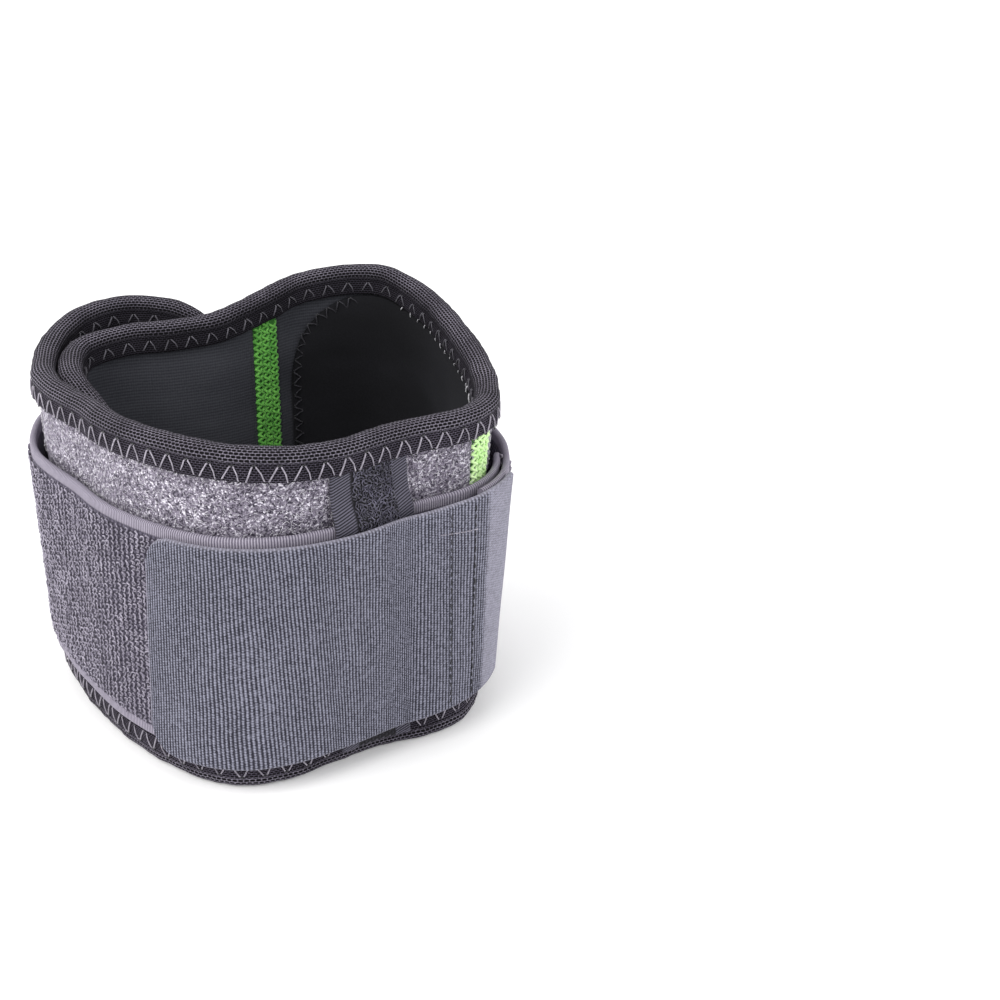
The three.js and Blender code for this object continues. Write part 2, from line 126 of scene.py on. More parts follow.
BACK_SEAM, FRONT_SEAM = 180, 296.5
PAD_START, PAD_END = 187.5, 290
STRAP_START, LEAVE, REJOIN, TAIL_START, TAIL_END = 283, 498, 570, 654, 751
HUG_STEP = 6
KEEPER_TURN = 333


def table(names, rows):
    """Rows of numbers as named columns."""
    return dict(zip(names.split(), np.array(rows, float).T))


BAND = table("turn rim foot top", [
    (38, 0.654, 0.688, 0.79), (47, 0.648, 0.664, 0.795), (57, 0.644, 0.648, 0.8),
    (70, 0.642, 0.656, 0.815), (80, 0.684, 0.676, 0.845), (90, 0.75, 0.714, 0.88),
    (98, 0.808, 0.766, 0.897), (105, 0.844, 0.804, 0.905), (112, 0.876, 0.826, 0.91),
    (118, 0.886, 0.844, 0.917), (124, 0.846, 0.82, 0.925), (132, 0.762, 0.752, 0.935),
    (140, 0.672, 0.68, 0.938), (150, 0.626, 0.636, 0.94), (161, 0.614, 0.624, 0.945),
    (172, 0.652, 0.652, 0.96), (181, 0.736, 0.72, 0.972), (190, 0.872, 0.83, 0.99),
    (199, 0.946, 0.9, 1.004), (207, 1.018, 0.966, 1.008), (214, 1.054, 0.996, 1.004),
    (222, 1.035, 0.992, 0.985), (232, 0.99, 0.952, 0.963), (248, 0.925, 0.892, 0.938),
    (266, 0.92, 0.83, 0.91), (276, 0.936, 0.83, 0.895), (285, 0.956, 0.83, 0.888),
    (292, 0.972, 0.835, 0.885), (299, 0.96, 0.846, 0.885), (306, 0.926, 0.846, 0.887),
    (315, 0.856, 0.815, 0.888), (326, 0.822, 0.77, 0.888), (339, 0.852, 0.784, 0.889),
    (349, 0.872, 0.832, 0.891), (358, 0.878, 0.9, 0.895), (369, 0.856, 0.948, 0.898),
    (379, 0.824, 0.92, 0.9), (392, 0.784, 0.852, 0.9), (407, 0.762, 0.8, 0.9),
    (417, 0.754, 0.78, 0.9), (430, 0.758, 0.78, 0.9), (440, 0.804, 0.804, 0.9),
    (450, 0.876, 0.838, 0.902), (458, 0.928, 0.888, 0.905), (465, 0.96, 0.92, 0.908),
    (472, 0.998, 0.95, 0.915), (478, 1.028, 0.976, 0.925), (484, 1.05, 0.996, 0.935),
    (490, 1.06, 1.004, 0.948), (497, 1.048, 0.992, 0.956), (503, 1.008, 0.96, 0.958),
    (508, 0.946, 0.91, 0.956), (513, 0.872, 0.848, 0.95), (518, 0.816, 0.804, 0.94),
    (524, 0.782, 0.774, 0.93), (531, 0.784, 0.776, 0.92),
])

# The lower edge curls out from under the tape at the right
CURL = table("turn out", [
    (262, 0), (278, 0.02), (292, 0.052), (306, 0.066), (320, 0.052), (336, 0.02), (352, 0), (640, 0),
])

# The tape's free span at the back, its stand-off from the band, and its height
BACK_SPAN = table("turn low high", [
    (510, 0.96, 0.99), (526, 0.93, 0.95), (542, 0.94, 0.96), (556, 0.965, 0.99),
])
STAND_OFF = table("turn low high", [
    (283, 0, 0), (440, 0, 0), (470, 0.3, 0.7), (498, 0.3, 0.7), (570, 0.3, 0.3), (620, 0.6, 0.6),
    (636, 1.25, 1.3), (648, 1.35, 1.45), (662, 1.35, 1.9), (676, 1.5, 2.3), (690, 1.2, 1.5),
    (704, 1, 1), (713, 0.5, 0.5), (724, 0.1, 0.1), (751, 0.05, 0.05),
])
LIFT = table("turn share", [
    (283, 0.17), (320, 0.162), (360, 0.157), (400, 0.152), (450, 0.165), (500, 0.18), (620, 0.176),
    (650, 0.17), (665, 0.166), (680, 0.149), (700, 0.134), (720, 0.126), (751, 0.123),
])

HALF_BODY = (CLOTH + CLEAR + LINING) / 2
FLAP_INNER = HALF_BODY + CLEAR
FLAP_OUTER = FLAP_INNER + BINDING
STRAP_INNER = FLAP_OUTER + CLEAR
STRAP_OUTER = STRAP_INNER + TAPE
TAIL_INNER = STRAP_OUTER + CLEAR
EDGE_INSET = BINDING + CLEAR

# %% [markdown]
# ## The two paths
# All the cloth follows two paths: the band's middle surface and the tape's guide. Each is ruled
# between a lower and an upper smooth curve in plan. `on_band` and `on_tape` give the point at a
# turn, a height and a distance outwards, so a strip of cloth is a grid of such points.

# %% Points on the band and on the tape


def place_in(rows, turn):
    """Where a turn lies in a table, counted in rows."""
    return np.interp(turn, rows["turn"], np.arange(len(rows["turn"])))


def column(rows, name, turn):
    """A value of one column, smoothly between the rows."""
    values = rows[name]
    last = len(values) - 1
    place = place_in(rows, turn)
    row = np.minimum(np.floor(place).astype(int), last - 1)
    before, here, there, after = (values[np.clip(row + k, 0, last)] for k in (-1, 0, 1, 2))
    t = place - row
    h = t * t * (3 - 2 * t)
    rise = t * (1 - t) * ((1 - t) * (there - before) / 2 - t * (after - here) / 2)
    return here * (1 - h) + there * h + rise


def plan(turn, reach):
    """Turn and reach as a point seen from above."""
    angle = np.radians(turn)
    return np.stack([-np.sin(angle) * reach, -np.cos(angle) * reach], axis=-1)


def smooth_path(points, place):
    """A smooth curve through points, at places counted in points."""
    ends = np.vstack([2 * points[0] - points[1], points, 2 * points[-1] - points[-2]])
    row = np.clip(np.floor(place).astype(int), 0, len(points) - 2)
    t = (place - row)[..., None]
    a, b, c, d = (ends[row + k] for k in range(4))
    ab, bc, cd = (np.sqrt(np.linalg.norm(q - p, axis=-1))[..., None] for p, q in ((a, b), (b, c), (c, d)))
    leave = bc * ((b - a) / ab - (c - a) / (ab + bc) + (c - b) / bc)
    arrive = bc * ((c - b) / bc - (d - b) / (bc + cd) + (d - c) / cd)
    cubic = 2 * (b - c) + leave + arrive
    square = 3 * (c - b) - 2 * leave - arrive
    return b + t * (leave + t * (square + t * cubic))


def ruled(low, high, place, rise, out, height):
    """A point between two curves in plan, moved outwards along the normal."""
    last = len(low) - 1

    def at(where):
        where = np.clip(where, 0, last)
        share = rise[..., None]
        return smooth_path(low, where) * (1 - share) + smooth_path(high, where) * share

    along = at(place + 0.002 * last) - at(place - 0.002 * last)
    along /= np.linalg.norm(along, axis=-1)[..., None]
    spot = at(place)
    return np.stack([spot[..., 0] - along[..., 1] * out, spot[..., 1] + along[..., 0] * out, height], -1)


def grids(*values):
    return np.broadcast_arrays(*(np.asarray(value, float) for value in values))


FOOT_LINE = plan(BAND["turn"], BAND["foot"] * REACH)
RIM_LINE = plan(BAND["turn"], BAND["rim"] * REACH)


def top_at(turn):
    """Height of the band's upper edge."""
    return column(BAND, "top", turn) * HEIGHT


def on_band(turn, height, out):
    turn, height, out = grids(turn, height, out)
    bend = np.maximum(0, 1 - height / CURL_HEIGHT)
    curl = column(CURL, "out", turn) * REACH * (0.4 * bend + 0.6 * bend * bend)
    return ruled(FOOT_LINE, RIM_LINE, place_in(BAND, turn), height / top_at(turn), out + curl, height)


def steps(start, end, step):
    """Equal steps between two values."""
    return np.linspace(start, end, max(1, round((end - start) / step)) + 1)


def lift_at(turn):
    return column(LIFT, "share", turn) * TAPE_WIDTH


def hugging(turn, back):
    """The tape's guide where it lies on the band."""
    low = lift_at(turn)
    return (
        turn,
        on_band(turn - back, low, column(STAND_OFF, "low", turn) * TAPE)[:, :2],
        on_band(turn - back, low + TAPE_WIDTH, column(STAND_OFF, "high", turn) * TAPE)[:, :2],
    )


span = (
    BACK_SPAN["turn"],
    plan(BACK_SPAN["turn"], BACK_SPAN["low"] * REACH),
    plan(BACK_SPAN["turn"], BACK_SPAN["high"] * REACH),
)
parts = [hugging(steps(STRAP_START, LEAVE, HUG_STEP), 0), span, hugging(steps(REJOIN, TAIL_END, HUG_STEP), 360)]
GUIDE, GUIDE_LOW, GUIDE_HIGH = (np.concatenate(column_) for column_ in zip(*parts))
GUIDE = {"turn": GUIDE}


def on_tape(turn, up, out):
    turn, up, out = grids(turn, up, out)
    return ruled(GUIDE_LOW, GUIDE_HIGH, place_in(GUIDE, turn), up / TAPE_WIDTH, out, lift_at(turn) + up)


class Ruler:
    """Turns to lengths along a path, and back."""

    def __init__(self, start, end, point_at):
        self.turns = np.linspace(start, end, int(end - start) * 2 + 1)
        points = point_at(self.turns)
        moved = np.linalg.norm(np.diff(points, axis=0), axis=1)
        self.lengths = np.concatenate([[0], np.cumsum(moved)])
        self.total = self.lengths[-1]

    def length_at(self, turn):
        return np.interp(turn, self.turns, self.lengths)

    def turn_at(self, length):
        return np.interp(length, self.lengths, self.turns)


band = Ruler(BAND["turn"][0], BAND["turn"][-1], lambda turn: on_band(turn, HEIGHT / 2, 0))
tape = Ruler(STRAP_START, TAIL_END, lambda turn: on_tape(turn, TAPE_WIDTH / 2, 0))
print(f"band {band.total / MM:.0f} mm long, tape {tape.total / MM:.0f} mm long")

# %% [markdown]
# ## Cloth as a grid
# A strip of cloth is a closed shell: an outer face, an inner face and half-round edges between
# them. `strip` makes it from rings of points across the strip. Its UV map is in metres along and
# across the strip, so that a weave keeps its real size and turns with the cloth.

# %% Grid helpers


def as_object(name, points, faces, u=None, v=None):
    """A smooth mesh object, with a UV map in metres where u and v are given."""
    mesh = bpy.data.meshes.new(name)
    mesh.from_pydata([tuple(point) for point in points], [], faces)
    mesh.validate()
    if u is not None:
        corners = np.zeros(len(mesh.loops), int)
        mesh.loops.foreach_get("vertex_index", corners)
        layer = mesh.uv_layers.new(name="cloth")
        layer.data.foreach_set("uv", np.stack([u[corners], v[corners]], -1).ravel())
    mesh.polygons.foreach_set("use_smooth", [True] * len(mesh.polygons))
    mesh.update()
    piece = bpy.data.objects.new(name, mesh)
    bpy.context.collection.objects.link(piece)
    return piece


def ring_faces(columns, around, loop):
    """Quads between rings of points, and the two ends of an open one."""
    i, j = np.meshgrid(np.arange(columns if loop else columns - 1), np.arange(around), indexing="ij")
    a, b = i * around + j, i * around + (j + 1) % around
    onward = (((i + 1) % columns) - i) * around
    faces = np.stack([a, a + onward, b + onward, b], -1).reshape(-1, 4).tolist()
    if not loop:
        faces.append(list(range(around)))
        faces.append(list(range((columns - 1) * around, columns * around))[::-1])
    return faces


def outward(piece):
    """Turns the faces the other way where the shell is inside out."""
    mesh = piece.data
    points = np.zeros(len(mesh.vertices) * 3, np.float32)
    mesh.vertices.foreach_get("co", points)
    points = points.reshape(-1, 3).astype(float)
    mesh.calc_loop_triangles()
    corners = np.zeros(len(mesh.loop_triangles) * 3, np.int32)
    mesh.loop_triangles.foreach_get("vertices", corners)
    a, b, c = (points[corners.reshape(-1, 3)[:, k]] for k in range(3))
    if (a * np.cross(b, c)).sum() < 0:
        mesh.flip_normals()
    return piece


def strip(name, lengths, point_at, low, high, inner, outer, rows, relief=None):
    """A strip of cloth along lengths. low and high are its edges at each length."""
    lengths = np.asarray(lengths)[:, None]
    low, high = (np.broadcast_to(np.asarray(x, float), (len(lengths),))[:, None] for x in (low, high))
    half, middle = (outer - inner) / 2, (outer + inner) / 2
    rise = np.linspace(0, 1, rows)[None, :]
    face = low + half + (high - low - 2 * half) * rise
    arc = np.radians(np.linspace(0, 180, 7)[1:-1])[None, :]
    heights = np.concatenate([
        face, high - half + half * np.sin(arc), face[:, ::-1], low + half - half * np.sin(arc),
    ], axis=1)
    edge = np.broadcast_to(half * np.cos(arc), (len(lengths), arc.shape[1]))
    flat = np.full_like(face, half)
    outs = middle + np.concatenate([flat, edge, -flat, -edge], axis=1)
    if relief is not None:
        outs[:, :rows] += relief(lengths + 0 * rise, heights[:, :rows])
    points = point_at(lengths + 0 * heights, heights, outs)
    count = points.shape[1]
    piece = as_object(
        name,
        points.reshape(-1, 3),
        ring_faces(len(lengths), count, False),
        np.repeat(lengths[:, 0], count),
        heights.ravel(),
    )
    side = piece.data.attributes.new("outer_face", "FLOAT", "POINT")
    side.data.foreach_set("value", (outs > middle).astype(np.float32).ravel())
    return outward(piece)


def corner_drop(distance, radius):
    """How much a round corner takes off an edge at a distance from the end."""
    short = np.clip(radius - distance, 0, radius)
    return radius - np.sqrt(radius * radius - short * short)


def columns(start, end, step, radius=0.0, round_start=False, round_end=False):
    """Lengths along a strip, closer together in its round corners."""
    ease = 1 - np.sin(np.radians(np.linspace(90, 0, 9)))
    head = start + radius * ease if round_start else np.array([start])
    tail = end - radius * ease[::-1] if round_end else np.array([end])
    return np.concatenate([head[:-1], steps(head[-1], tail[0], step), tail[1:]])


def ripple(seed, count, shortest, longest):
    """A soft random wave: a function of two lengths that swings by about one."""
    random = np.random.default_rng(seed)
    size = random.uniform(shortest, longest, count)
    angle = random.uniform(0, math.pi, count)
    phase = random.uniform(0, 2 * math.pi, count)

    def wave(u, v):
        total = 0
        for s, a, p in zip(size, angle, phase):
            total = total + np.sin(2 * math.pi * (u * math.cos(a) + v * math.sin(a)) / s + p)
        return total / math.sqrt(count)

    return wave

# %% [markdown]
# ## Recipes for cloth finishes
# A knit or a weave is a pattern in the strip's own UV map. `Finish` builds a material, and its
# signals read like arithmetic, so that a row of knit holes is one line: where the row is, where
# the hole is in its cell, and how deep it sinks.

# %% Finish helper


def srgb(text):
    """A colour written as in a paint program, as the numbers that a shader takes."""
    values = [int(text[k:k + 2], 16) / 255 for k in (1, 3, 5)]
    return [v / 12.92 if v <= 0.04045 else ((v + 0.055) / 1.055) ** 2.4 for v in values] + [1.0]


class Signal:
    """A number that changes over the surface."""

    def __init__(self, finish, socket):
        self.finish = finish
        self.socket = socket

    def math(self, operation, *others):
        node = self.finish.tree.nodes.new("ShaderNodeMath")
        node.operation = operation
        for slot_, value in enumerate((self, *others)):
            self.finish.plug(value, node.inputs[slot_])
        return Signal(self.finish, node.outputs[0])

    def __add__(self, other):
        return self.math("ADD", other)

    __radd__ = __add__

    def __mul__(self, other):
        return self.math("MULTIPLY", other)

    __rmul__ = __mul__

    def __sub__(self, other):
        return self.math("SUBTRACT", other)

    def __rsub__(self, other):
        return (self * -1) + other

    def __truediv__(self, other):
        return self.math("DIVIDE", other)

    def floor(self):
        return self.math("FLOOR")

    def fract(self):
        return self.math("FRACT")

    def size(self):
        return self.math("ABSOLUTE")

    def power(self, other):
        return self.math("POWER", other)

    def lower_of(self, other):
        return self.math("MINIMUM", other)

    def higher_of(self, other):
        return self.math("MAXIMUM", other)

    def swing(self, period, phase=0.0):
        """A wave between 0 and 1."""
        return (self * (2 * math.pi / period) + phase).math("COSINE") * 0.5 + 0.5

    def ramp(self, low, high):
        """Smoothly from 0 at low to 1 at high."""
        node = self.finish.tree.nodes.new("ShaderNodeMapRange")
        node.interpolation_type = "SMOOTHSTEP"
        self.finish.plug(self, node.inputs["Value"])
        node.inputs["From Min"].default_value = low
        node.inputs["From Max"].default_value = high
        return Signal(self.finish, node.outputs["Result"])


class Finish:
    """A cloth material. u and v are its place along and across the strip, in millimetres."""

    def __init__(self, name, roughness=0.85, sheen=0.0, sheen_colour="#ffffff", specular=0.3):
        self.material = bpy.data.materials.new(name)
        self.material.use_nodes = True
        self.tree = self.material.node_tree
        self.shader = self.tree.nodes["Principled BSDF"]
        self.shader.inputs["Roughness"].default_value = roughness
        self.shader.inputs["Specular IOR Level"].default_value = specular
        self.shader.inputs["Sheen Weight"].default_value = sheen
        self.shader.inputs["Sheen Roughness"].default_value = 0.4
        self.shader.inputs["Sheen Tint"].default_value = srgb(sheen_colour)
        split = self.tree.nodes.new("ShaderNodeSeparateXYZ")
        place = self.tree.nodes.new("ShaderNodeUVMap")
        place.uv_map = "cloth"
        self.tree.links.new(place.outputs[0], split.inputs[0])
        self.u = Signal(self, split.outputs[0]) * 1000
        self.v = Signal(self, split.outputs[1]) * 1000

    def plug(self, value, socket):
        if isinstance(value, Signal):
            self.tree.links.new(value.socket, socket)
        else:
            socket.default_value = value

    def noise(self, grain, detail=2.0, stretch=(1, 1, 1), solid=False):
        """Cloudy noise whose grain is in millimetres, on the cloth or through the space."""
        where = self.tree.nodes.new("ShaderNodeMapping")
        where.inputs["Scale"].default_value = [1000 / grain / s for s in stretch]
        if solid:
            source = self.tree.nodes.new("ShaderNodeTexCoord").outputs["Object"]
        else:
            source = self.tree.nodes.new("ShaderNodeUVMap")
            source.uv_map = "cloth"
            source = source.outputs[0]
        self.tree.links.new(source, where.inputs[0])
        node = self.tree.nodes.new("ShaderNodeTexNoise")
        node.inputs["Scale"].default_value = 1.0
        node.inputs["Detail"].default_value = detail
        self.tree.links.new(where.outputs[0], node.inputs["Vector"])
        return Signal(self, node.outputs["Fac"])

    def specks(self, grain, solid=False):
        """Cells of one random value each, and the distance to each cell's middle."""
        where = self.tree.nodes.new("ShaderNodeMapping")
        where.inputs["Scale"].default_value = [1000 / grain] * 3
        if solid:
            source = self.tree.nodes.new("ShaderNodeTexCoord").outputs["Object"]
        else:
            source = self.tree.nodes.new("ShaderNodeUVMap")
            source.uv_map = "cloth"
            source = source.outputs[0]
        self.tree.links.new(source, where.inputs[0])
        node = self.tree.nodes.new("ShaderNodeTexVoronoi")
        node.inputs["Scale"].default_value = 1.0
        self.tree.links.new(where.outputs[0], node.inputs["Vector"])
        split = self.tree.nodes.new("ShaderNodeSeparateColor")
        self.tree.links.new(node.outputs["Color"], split.inputs[0])
        return Signal(self, split.outputs[0]), Signal(self, node.outputs["Distance"])

    def attribute(self, name):
        node = self.tree.nodes.new("ShaderNodeAttribute")
        node.attribute_name = name
        return Signal(self, node.outputs["Fac"])

    def mix(self, share, dark, light):
        """From one colour to another. Each is a hex text or a mix."""
        node = self.tree.nodes.new("ShaderNodeMix")
        node.data_type = "RGBA"
        self.plug(share, node.inputs[0])
        for value, socket in ((dark, node.inputs[6]), (light, node.inputs[7])):
            if isinstance(value, str):
                socket.default_value = srgb(value)
            else:
                self.tree.links.new(value.socket, socket)
        return Signal(self, node.outputs[2])

    def done(self, colour, height=None, depth=0.2, roughness=None):
        """Plugs the colour and the relief in. depth is in millimetres."""
        self.tree.links.new(colour.socket, self.shader.inputs["Base Color"])
        if roughness is not None:
            self.tree.links.new(roughness.socket, self.shader.inputs["Roughness"])
        if height is not None:
            bump = self.tree.nodes.new("ShaderNodeBump")
            bump.inputs["Strength"].default_value = 1.0
            bump.inputs["Distance"].default_value = depth * MM
            self.tree.links.new(height.socket, bump.inputs["Height"])
            self.tree.links.new(bump.outputs[0], self.shader.inputs["Normal"])
        return self.material


# %% [markdown]
# ## Brushed outer cloth
# The outer cloth is loop velour: short bright filaments lie in every direction over a darker
# ground, so it looks speckled like frost. Two sizes of random cells give the specks, and a slow
# cloud keeps large areas from looking printed.

# %% Brushed cloth


def brushed_cloth():
    cloth = Finish("brushed_cloth", roughness=0.8, sheen=0.35, sheen_colour="#dcd6ea")
    fine, near = cloth.specks(0.34)
    coarse, far = cloth.specks(0.62)
    streak = cloth.noise(0.35, 3, stretch=(1.8, 0.7, 1))
    cloud = cloth.noise(6, 2)
    glint = (fine * 0.55 + coarse * 0.35 + streak * 0.7 + cloud * 0.25 - 0.42)
    ground = cloth.mix(glint.ramp(0.16, 0.62), "#2d2835", "#837c8b")
    colour = cloth.mix(glint.ramp(0.64, 0.9), ground, "#eae6f0")
    height = fine * 0.5 + coarse * 0.4 + (1 - near) * 0.3 + (1 - far) * 0.2 + streak * 0.6
    return cloth.done(colour, height, 0.24)


BRUSHED = brushed_cloth()

# %% [markdown]
# ## Lining, cushion cover and knitted binding
# The lining is a smooth dark knit with faint courses along the strip. The cushion's cover is the
# same knit in near-black. The binding is an open mesh: staggered rows of small oblong holes on
# the roll, and a denser, finer knit on its flaps, where it is stretched over the cloth.

# %% Lining, cushion and binding


def smooth_knit(name, dark, light, sheen, lines):
    knit = Finish(name, roughness=0.9, sheen=sheen, sheen_colour="#9a9aa8", specular=0.2)
    course = knit.v.swing(0.75) * lines
    wale = knit.u.swing(0.55) * lines
    drift = knit.noise(11, 3, stretch=(3, 1, 1))
    grain = knit.noise(0.45, 2)
    tone = course * 0.16 + drift * 0.6 + grain * 0.4 + wale * 0.06 - 0.2
    height = course * 0.35 + wale * 0.2 + grain * 0.5
    return knit.done(knit.mix(tone.ramp(0.1, 0.85), dark, light), height, 0.05)


LINING_KNIT = smooth_knit("lining_knit", "#292a30", "#4a4b51", 0.25, 1.3)
PAD_KNIT = smooth_knit("pad_knit", "#101013", "#212126", 0.1, 0.0)


def mesh_knit():
    knit = Finish("binding_mesh", roughness=0.85, sheen=0.03, sheen_colour="#b9b2c4", specular=0.12)
    wander = knit.noise(9, 1) * 0.4

    def open_mesh(stitch, course, wide, tall):
        """Staggered oblong holes: 1 in a hole, 0 on the yarn."""
        row = knit.v / course
        cell_u = (knit.u / stitch + row.floor() * 0.5 + wander).fract() - 0.5
        cell_v = row.fract() - 0.5
        away = ((cell_u / wide).size().power(3) + (cell_v / tall).size().power(3)).power(1 / 3)
        return 1 - away.ramp(0.75, 1.15)

    flap = knit.v.size().ramp(4.0, 4.8)
    holes = open_mesh(1.04, 0.7, 0.46, 0.42) * (1 - flap) + open_mesh(0.84, 0.5, 0.45, 0.38) * flap
    twist = knit.noise(0.4, 2)
    worn = knit.noise(12, 2)
    tone = (twist * 0.9 + worn * 0.5 - 0.22).ramp(0.1, 0.9)
    yarn_ = knit.mix(tone, "#322d39", "#a09aa9")
    flap_yarn = knit.mix(tone, "#25212b", "#655f6e")
    colour = knit.mix(holes, knit.mix(flap, yarn_, flap_yarn), "#08070a")
    # The side that faces the arm, inside the band, gets painted shade: its colour is mixed towards near-black
    painted_shade_inside = knit.v.ramp(1.5, 4.5)
    colour = knit.mix(painted_shade_inside * 0.6, colour, "#0c0b0e")
    height = (1 - holes) * 0.9 + twist * 0.25
    return knit.done(colour, height, 0.3)


BINDING_MESH = mesh_knit()

# %% [markdown]
# ## Tape finishes
# The loop tape has a finely ribbed selvage along both edges and a dark ground between, over which
# the loops are made as real threads. The hook tail has ribs across its width, each a column of
# tiny stitches. The keeper is the same tape as the strap, narrower and darker.

# %% Tapes


def ribbed_selvage(name, width, selvage, rib_pitch, slant, dark, light, ground_dark, ground_light):
    """Tape of a width, with ribs that run across each selvage and a knobbly ground between."""
    cloth = Finish(name, roughness=0.8, sheen=0.25, sheen_colour="#cfc9dc")
    run, rise = cloth.u, cloth.v
    rib = (run + rise * slant).swing(rib_pitch)
    middle = ((rise - width / 2).size() * -1 + (width / 2 - selvage)).ramp(-0.25, 0.35)
    row = rise / 0.95
    knot_u = (run / 1.3 + row.floor() * 0.5).fract() - 0.5
    knot_v = row.fract() - 0.5
    knot = 1 - ((knot_u / 0.45).power(2) + (knot_v / 0.45).power(2)).power(0.5).ramp(0.3, 1.1)
    grain = cloth.noise(0.4, 2)
    cloud = cloth.noise(7, 2)
    edge = cloth.mix((rib * 0.75 + grain * 0.4 + cloud * 0.3 - 0.25).ramp(0.1, 0.9), dark, light)
    ground = cloth.mix((knot * 0.5 + grain * 0.5 + cloud * 0.3 - 0.2).ramp(0.1, 0.9), ground_dark, ground_light)
    height = (rib * 0.7 + grain * 0.3) * (1 - middle) + (knot * 0.9 + grain * 0.5) * middle
    return cloth.done(cloth.mix(middle, edge, ground), height, 0.16)


STRAP_CLOTH = ribbed_selvage("strap_tape", 50, 2.4, 0.54, 0, "#5a5563", "#a19ba8", "#322e3b", "#5f5a6a")
KEEPER_CLOTH = ribbed_selvage("keeper_tape", 19, 4.2, 0.66, 0.4, "#19181f", "#615f6d", "#111014", "#222128")


def tail_ribs():
    cloth = Finish("tail_ribs", roughness=0.75, sheen=0.15, sheen_colour="#c3c4d6", specular=0.35)
    rib = cloth.attribute("rib")
    sway = cloth.noise(5, 2)
    number = (cloth.u / (RIB / MM)).floor()
    bead = (cloth.v / 0.6 + number * 0.5 + sway * 0.5).fract() - 0.5
    bead = 1 - bead.size().ramp(0.12, 0.5)
    grain = cloth.noise(0.35, 3)
    cloud = cloth.noise(14, 2, stretch=(1, 2.5, 1))
    fleck, _ = cloth.specks(0.5)
    tone = rib * (bead * 0.5 + 0.4) + grain * 0.75 + fleck * 0.3 + cloud * 0.25 - 0.64
    colour = cloth.mix(tone.ramp(0.0, 0.95), "#1f1f2b", "#8f8fa0")
    edge = cloth.attribute("cut_edge")
    colour = cloth.mix(edge, colour, "#a8a4b2")
    height = rib * 0.5 + bead * rib * 0.8 + grain * 0.5
    return cloth.done(colour, height, 0.14)


TAIL_CLOTH = tail_ribs()

# %% [markdown]
# ## Threads
# Stitching thread is smooth and bright against the cloth. The green seams are thick soft yarn;
# on the faces inside the band and at the back it is a greener, darker copy, as painted shade.

# %% Thread finishes


def yarn(name, dark, light, roughness, grain=0.5, sheen=0.2):
    thread = Finish(name, roughness=roughness, sheen=sheen)
    fuzz = thread.noise(grain, 3, solid=True)
    cloud = thread.noise(5, 2, solid=True)
    tone = fuzz * 0.8 + cloud * 0.5 - 0.15
    return thread.done(thread.mix(tone.ramp(0.15, 0.85), dark, light), fuzz, 0.08)


PALE_THREAD = yarn("pale_thread", "#69646f", "#b0aab6", 0.6)
# A darker copy of the pale thread, for the zigzag's inner face: painted shade
SHADED_PALE_THREAD = yarn("shaded_pale_thread", "#36343a", "#6c6972", 0.6)
SEAM_THREAD = yarn("seam_thread", "#19181d", "#3c3a42", 0.6)
DARK_THREAD = yarn("dark_thread", "#151418", "#2f2e34", 0.6)
BRIGHT_THREAD = yarn("bright_thread", "#a5a2ab", "#e9e7ec", 0.5)
LOOP_YARN = yarn("loop_yarn", "#5c5767", "#b2acbb", 0.65, 0.9)
KEEPER_YARN = yarn("keeper_yarn", "#1f1d28", "#737083", 0.6, 0.9)
NAP_YARN = yarn("nap_yarn", "#6b6575", "#f6f3fa", 0.5, 0.8)
# A darker copy of the seam yarn, for the faces inside the band and at the back: painted shade
GREEN_YARN_SHADED = yarn("green_yarn_shaded", "#469236", "#7dc85a", 0.75, 0.9, 0.2)
GREEN_BRIGHT = yarn("green_bright", "#a6de78", "#e9ffcb", 0.7, 0.9, 0.4)
GREEN_GROUND = yarn("green_ground", "#275a1e", "#428434", 0.85, 0.9)
GREEN_SHADE = yarn("green_shade", "#1a3d15", "#2f6b22", 0.85, 0.9)

# %% [markdown]
# ## The band's three panels
# Each panel is one layer of outer cloth on foam, from the binding at its foot to the binding at
# its rim. The foam makes it a little uneven, so a soft wave goes into the grid as relief.

# %% Outer cloth


def band_point(length, height, out):
    return on_band(band.turn_at(length), height, out)


first, last = EDGE_INSET, band.total - EDGE_INSET
back_seam, front_seam = band.length_at(BACK_SEAM), band.length_at(FRONT_SEAM)
beside = SEAM_WIDTH / 2 + CLEAR
PANELS = {
    "inner_end": (first, back_seam - beside),
    "middle": (back_seam + beside, front_seam - beside),
    "outer_end": (front_seam + beside, last),
}


def band_layer(name, start, end, inner, outer, rows=44, step=1.5 * MM, relief=None):
    """A layer of the band between two lengths, with the strip's round corners."""
    radius = CORNER - EDGE_INSET
    along = columns(start, end, step, radius, start <= first, end >= last)
    drop = corner_drop(along - first, radius) + corner_drop(last - along, radius)
    low = EDGE_INSET + drop
    high = top_at(band.turn_at(along)) - EDGE_INSET - drop
    piece = strip(name, along, band_point, low, high, inner, outer, rows, relief)
    tall = high - low
    area = float(((tall[1:] + tall[:-1]) / 2 * np.diff(along)).sum())
    return piece, (float(end - start), float(tall.max())), area


def dress(piece, material, node):
    """Gives a finished piece its material and its body, and hides the imported part that it stands for."""
    if material is not None:
        piece.data.materials.clear()
        piece.data.materials.append(material)
    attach(piece, "root")
    if node:
        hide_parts(node)
    return piece


swell = ripple(3, 9, 9 * MM, 26 * MM)
for part, (start, end) in PANELS.items():
    piece, flat, area = band_layer(
        f"cloth_{part}", start, end, HALF_BODY - CLOTH, HALF_BODY,
        relief=lambda u, v: 0.1 * MM * swell(u, v),
    )
    dress(piece, BRUSHED, f"panel_{part}")
    print(piece.name, f"{flat[0] / MM:.0f} x {flat[1] / MM:.0f} mm")

# %% [markdown]
# ## Lining and cushion
# The lining backs each panel. The cushion lies inside the middle panel and swells towards the
# arm. It is padded, with its edge sewn down flat and its middle puffed out.

